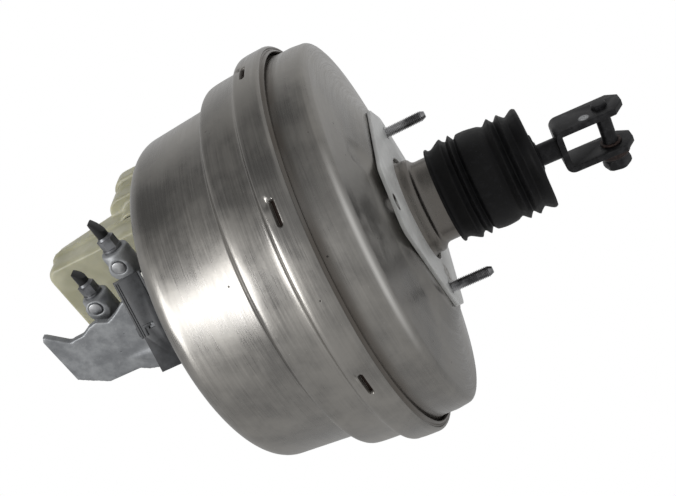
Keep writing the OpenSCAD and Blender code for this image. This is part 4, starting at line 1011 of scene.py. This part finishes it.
def lamp(name, at, towards, size, power, colour="#FFFFFF"):
    """A square area lamp that faces a point."""
    data = bpy.data.lights.new(name, "AREA")
    data.shape = "RECTANGLE"
    data.size, data.size_y = size
    data.energy = power
    data.color = linear(colour)
    obj = bpy.data.objects.new(name, data)
    direction = np.array(at) - np.array(towards)
    back = direction / np.linalg.norm(direction)
    right = np.cross((0.0, 0.0, 1.0), back)
    right /= np.linalg.norm(right)
    up = np.cross(back, right)
    turn = np.eye(4)
    turn[:3, 0], turn[:3, 1], turn[:3, 2], turn[:3, 3] = right, up, back, at
    obj.matrix_world = Matrix(turn.tolist())
    obj.visible_camera = False
    bpy.context.scene.collection.objects.link(obj)
    return obj


def lobe(tree, direction, centre, low, high, amount):
    """Amount towards one direction, fading out where the cosine to it falls from high to low."""
    centre = np.array(centre) / np.linalg.norm(centre)
    made = add(tree, "ShaderNodeVectorMath", {0: direction, 1: tuple(centre)}, operation="DOT_PRODUCT")
    return span(tree, made.outputs["Value"], low, high, 0.0, amount)


def studio_world(room):
    """Plain light from all round. The backdrop past the object is white, to the camera and in metal that mirrors it."""
    world = bpy.data.worlds.new("studio")
    bpy.context.scene.world = world
    world.use_nodes = True
    tree = world.node_tree
    tree.nodes.clear()
    direction = tree.nodes.new("ShaderNodeTexCoord").outputs["Generated"]
    path = tree.nodes.new("ShaderNodeLightPath")
    height = add(tree, "ShaderNodeSeparateXYZ", {"Vector": direction}).outputs["Z"]
    level = maths(tree, "ADD", span(tree, height, -1.0, 1.0, 0.38, 0.36), span(tree, height, 0.60, 1.0, 0.0, 0.14))
    level = maths(tree, "SUBTRACT", level, lobe(tree, direction, (-0.35, -0.92, 0.15), 0.70, 0.99, 0.20))
    level = maths(tree, "SUBTRACT", level, lobe(tree, direction, (0.47, 0.60, 0.65), 0.85, 0.99, 0.08))
    grey = add(tree, "ShaderNodeCombineColor", {"Red": level, "Green": level, "Blue": level}).outputs["Color"]
    dim = add(tree, "ShaderNodeBackground", {"Color": grey, "Strength": room / 0.4})
    white = add(tree, "ShaderNodeBackground", {"Color": (1, 1, 1, 1), "Strength": 1.0})
    mirrored = maths(tree, "MAXIMUM", path.outputs["Is Glossy Ray"], path.outputs["Is Transmission Ray"])
    behind = maths(tree, "MULTIPLY", mirrored, lobe(tree, direction, (-0.2333, 0.4862, 0.8421), 0.95, 0.985, 1.0))
    seen = maths(tree, "MAXIMUM", path.outputs["Is Camera Ray"], behind)
    mix = add(tree, "ShaderNodeMixShader", {0: seen, 1: dim.outputs[0], 2: white.outputs[0]})
    add(tree, "ShaderNodeOutputWorld", {"Surface": mix.outputs[0]})


def studio_floor():
    """Pale floor under the part. It is open to a camera that looks up from below it, and keeps the shadow from above."""
    low = CAD_BOUNDS[0][2] - 0.5 * MM
    half = 3.0
    points = np.array([[-half, -half, low], [half, -half, low], [half, half, low], [-half, half, low]])
    obj = mesh_object("floor", points, np.array([[0, 1, 2, 3]]))
    material, tree, shader, coords = new_material("pale_floor")
    output = next(n for n in tree.nodes if n.bl_idname == "ShaderNodeOutputMaterial")
    cloud = noise(tree, coords, 0.3, 3.0)
    wire(tree, shader, Base_Color=tint(tree, cloud, rgba("#E3E2DF"), rgba("#E9E8E6")), Roughness=0.7)
    path = tree.nodes.new("ShaderNodeLightPath")
    below = tree.nodes.new("ShaderNodeNewGeometry").outputs["Backfacing"]
    clear = tree.nodes.new("ShaderNodeBsdfTransparent").outputs[0]
    seen = maths(tree, "MULTIPLY", below, path.outputs["Is Camera Ray"])
    mix = add(tree, "ShaderNodeMixShader", {0: seen, 1: shader.outputs[0], 2: clear})
    tree.links.new(mix.outputs[0], output.inputs["Surface"])
    obj.data.materials.append(material)
    obj.visible_shadow = False
    obj.visible_glossy = False


class OBJECT_OT_booster_studio(bpy.types.Operator):
    """Camera at the photograph's angle, pale floor, room light and a soft lamp"""

    bl_idname = "object.booster_studio"
    bl_label = "Studio"

    def execute(self, context):
        s = context.scene.booster_studio
        data = bpy.data.cameras.new("photo_camera")
        data.lens = s.lens
        data.sensor_width = 36
        data.clip_start = 0.01
        data.shift_x, data.shift_y = 0.0007, -0.0007
        camera = bpy.data.objects.new("photo_camera", data)
        right, up, back = (0.8819, 0.4706, -0.0274), (0.4097, -0.7363, 0.5386), (0.2333, -0.4862, -0.8421)
        turn = np.eye(4)
        turn[:3, 0], turn[:3, 1], turn[:3, 2], turn[:3, 3] = right, up, back, (0.0826, -0.3033, -0.5279)
        camera.matrix_world = Matrix(turn.tolist())
        context.scene.collection.objects.link(camera)
        context.scene.camera = camera
        context.scene.view_settings.view_transform = "Standard"
        studio_world(s.room)
        studio_floor()
        lamp("key_below", (-0.93, -0.45, -0.78), (-0.13, -0.06, -0.11), (0.60, 0.60), s.key_power)
        return {"FINISHED"}


class VIEW3D_PT_booster(bpy.types.Panel):
    """Lists the booster's pieces and their settings"""

    bl_idname = "VIEW3D_PT_booster"
    bl_label = "Brake booster"
    bl_space_type = "VIEW_3D"
    bl_region_type = "UI"
    bl_category = "Booster"

    def draw(self, context):
        for settings in (context.scene.booster_shells, context.scene.booster_boot, context.scene.booster_threads, context.scene.booster_studio):
            box = self.layout.box()
            for key in settings.bl_rna.properties.keys():
                if key not in ("rna_type", "name"):
                    box.prop(settings, key)
        for operator in OPERATORS:
            self.layout.operator(operator.bl_idname)


OPERATORS = (
    OBJECT_OT_booster_inner_parts,
    OBJECT_OT_booster_springs,
    OBJECT_OT_booster_front_shell,
    OBJECT_OT_booster_rear_shell,
    OBJECT_OT_booster_boot,
    OBJECT_OT_booster_studs,
    OBJECT_OT_booster_cylinder,
    OBJECT_OT_booster_reservoir,
    OBJECT_OT_booster_linkage,
    OBJECT_OT_booster_housing,
    OBJECT_OT_booster_studio,
)
GROUPS = {
    "booster_shells": BoosterShellSettings,
    "booster_boot": BootSettings,
    "booster_threads": ThreadSettings,
    "booster_studio": StudioSettings,
}


def register():
    for group in GROUPS.values():
        bpy.utils.register_class(group)
    for key, group in GROUPS.items():
        setattr(bpy.types.Scene, key, bpy.props.PointerProperty(type=group))
    for operator in OPERATORS:
        bpy.utils.register_class(operator)
    bpy.utils.register_class(VIEW3D_PT_booster)


def unregister():
    bpy.utils.unregister_class(VIEW3D_PT_booster)
    for operator in reversed(OPERATORS):
        bpy.utils.unregister_class(operator)
    for key, group in GROUPS.items():
        delattr(bpy.types.Scene, key)
        bpy.utils.unregister_class(group)


def plain(bounds):
    """Bounds as lists of numbers."""
    return [[float(v) for v in corner] for corner in bounds]


def main():
    register()
    FINISH.update(finishes())
    for operator in OPERATORS:
        getattr(bpy.ops.object, operator.bl_idname.split(".")[1])()


if __name__ == "__main__":
    main()
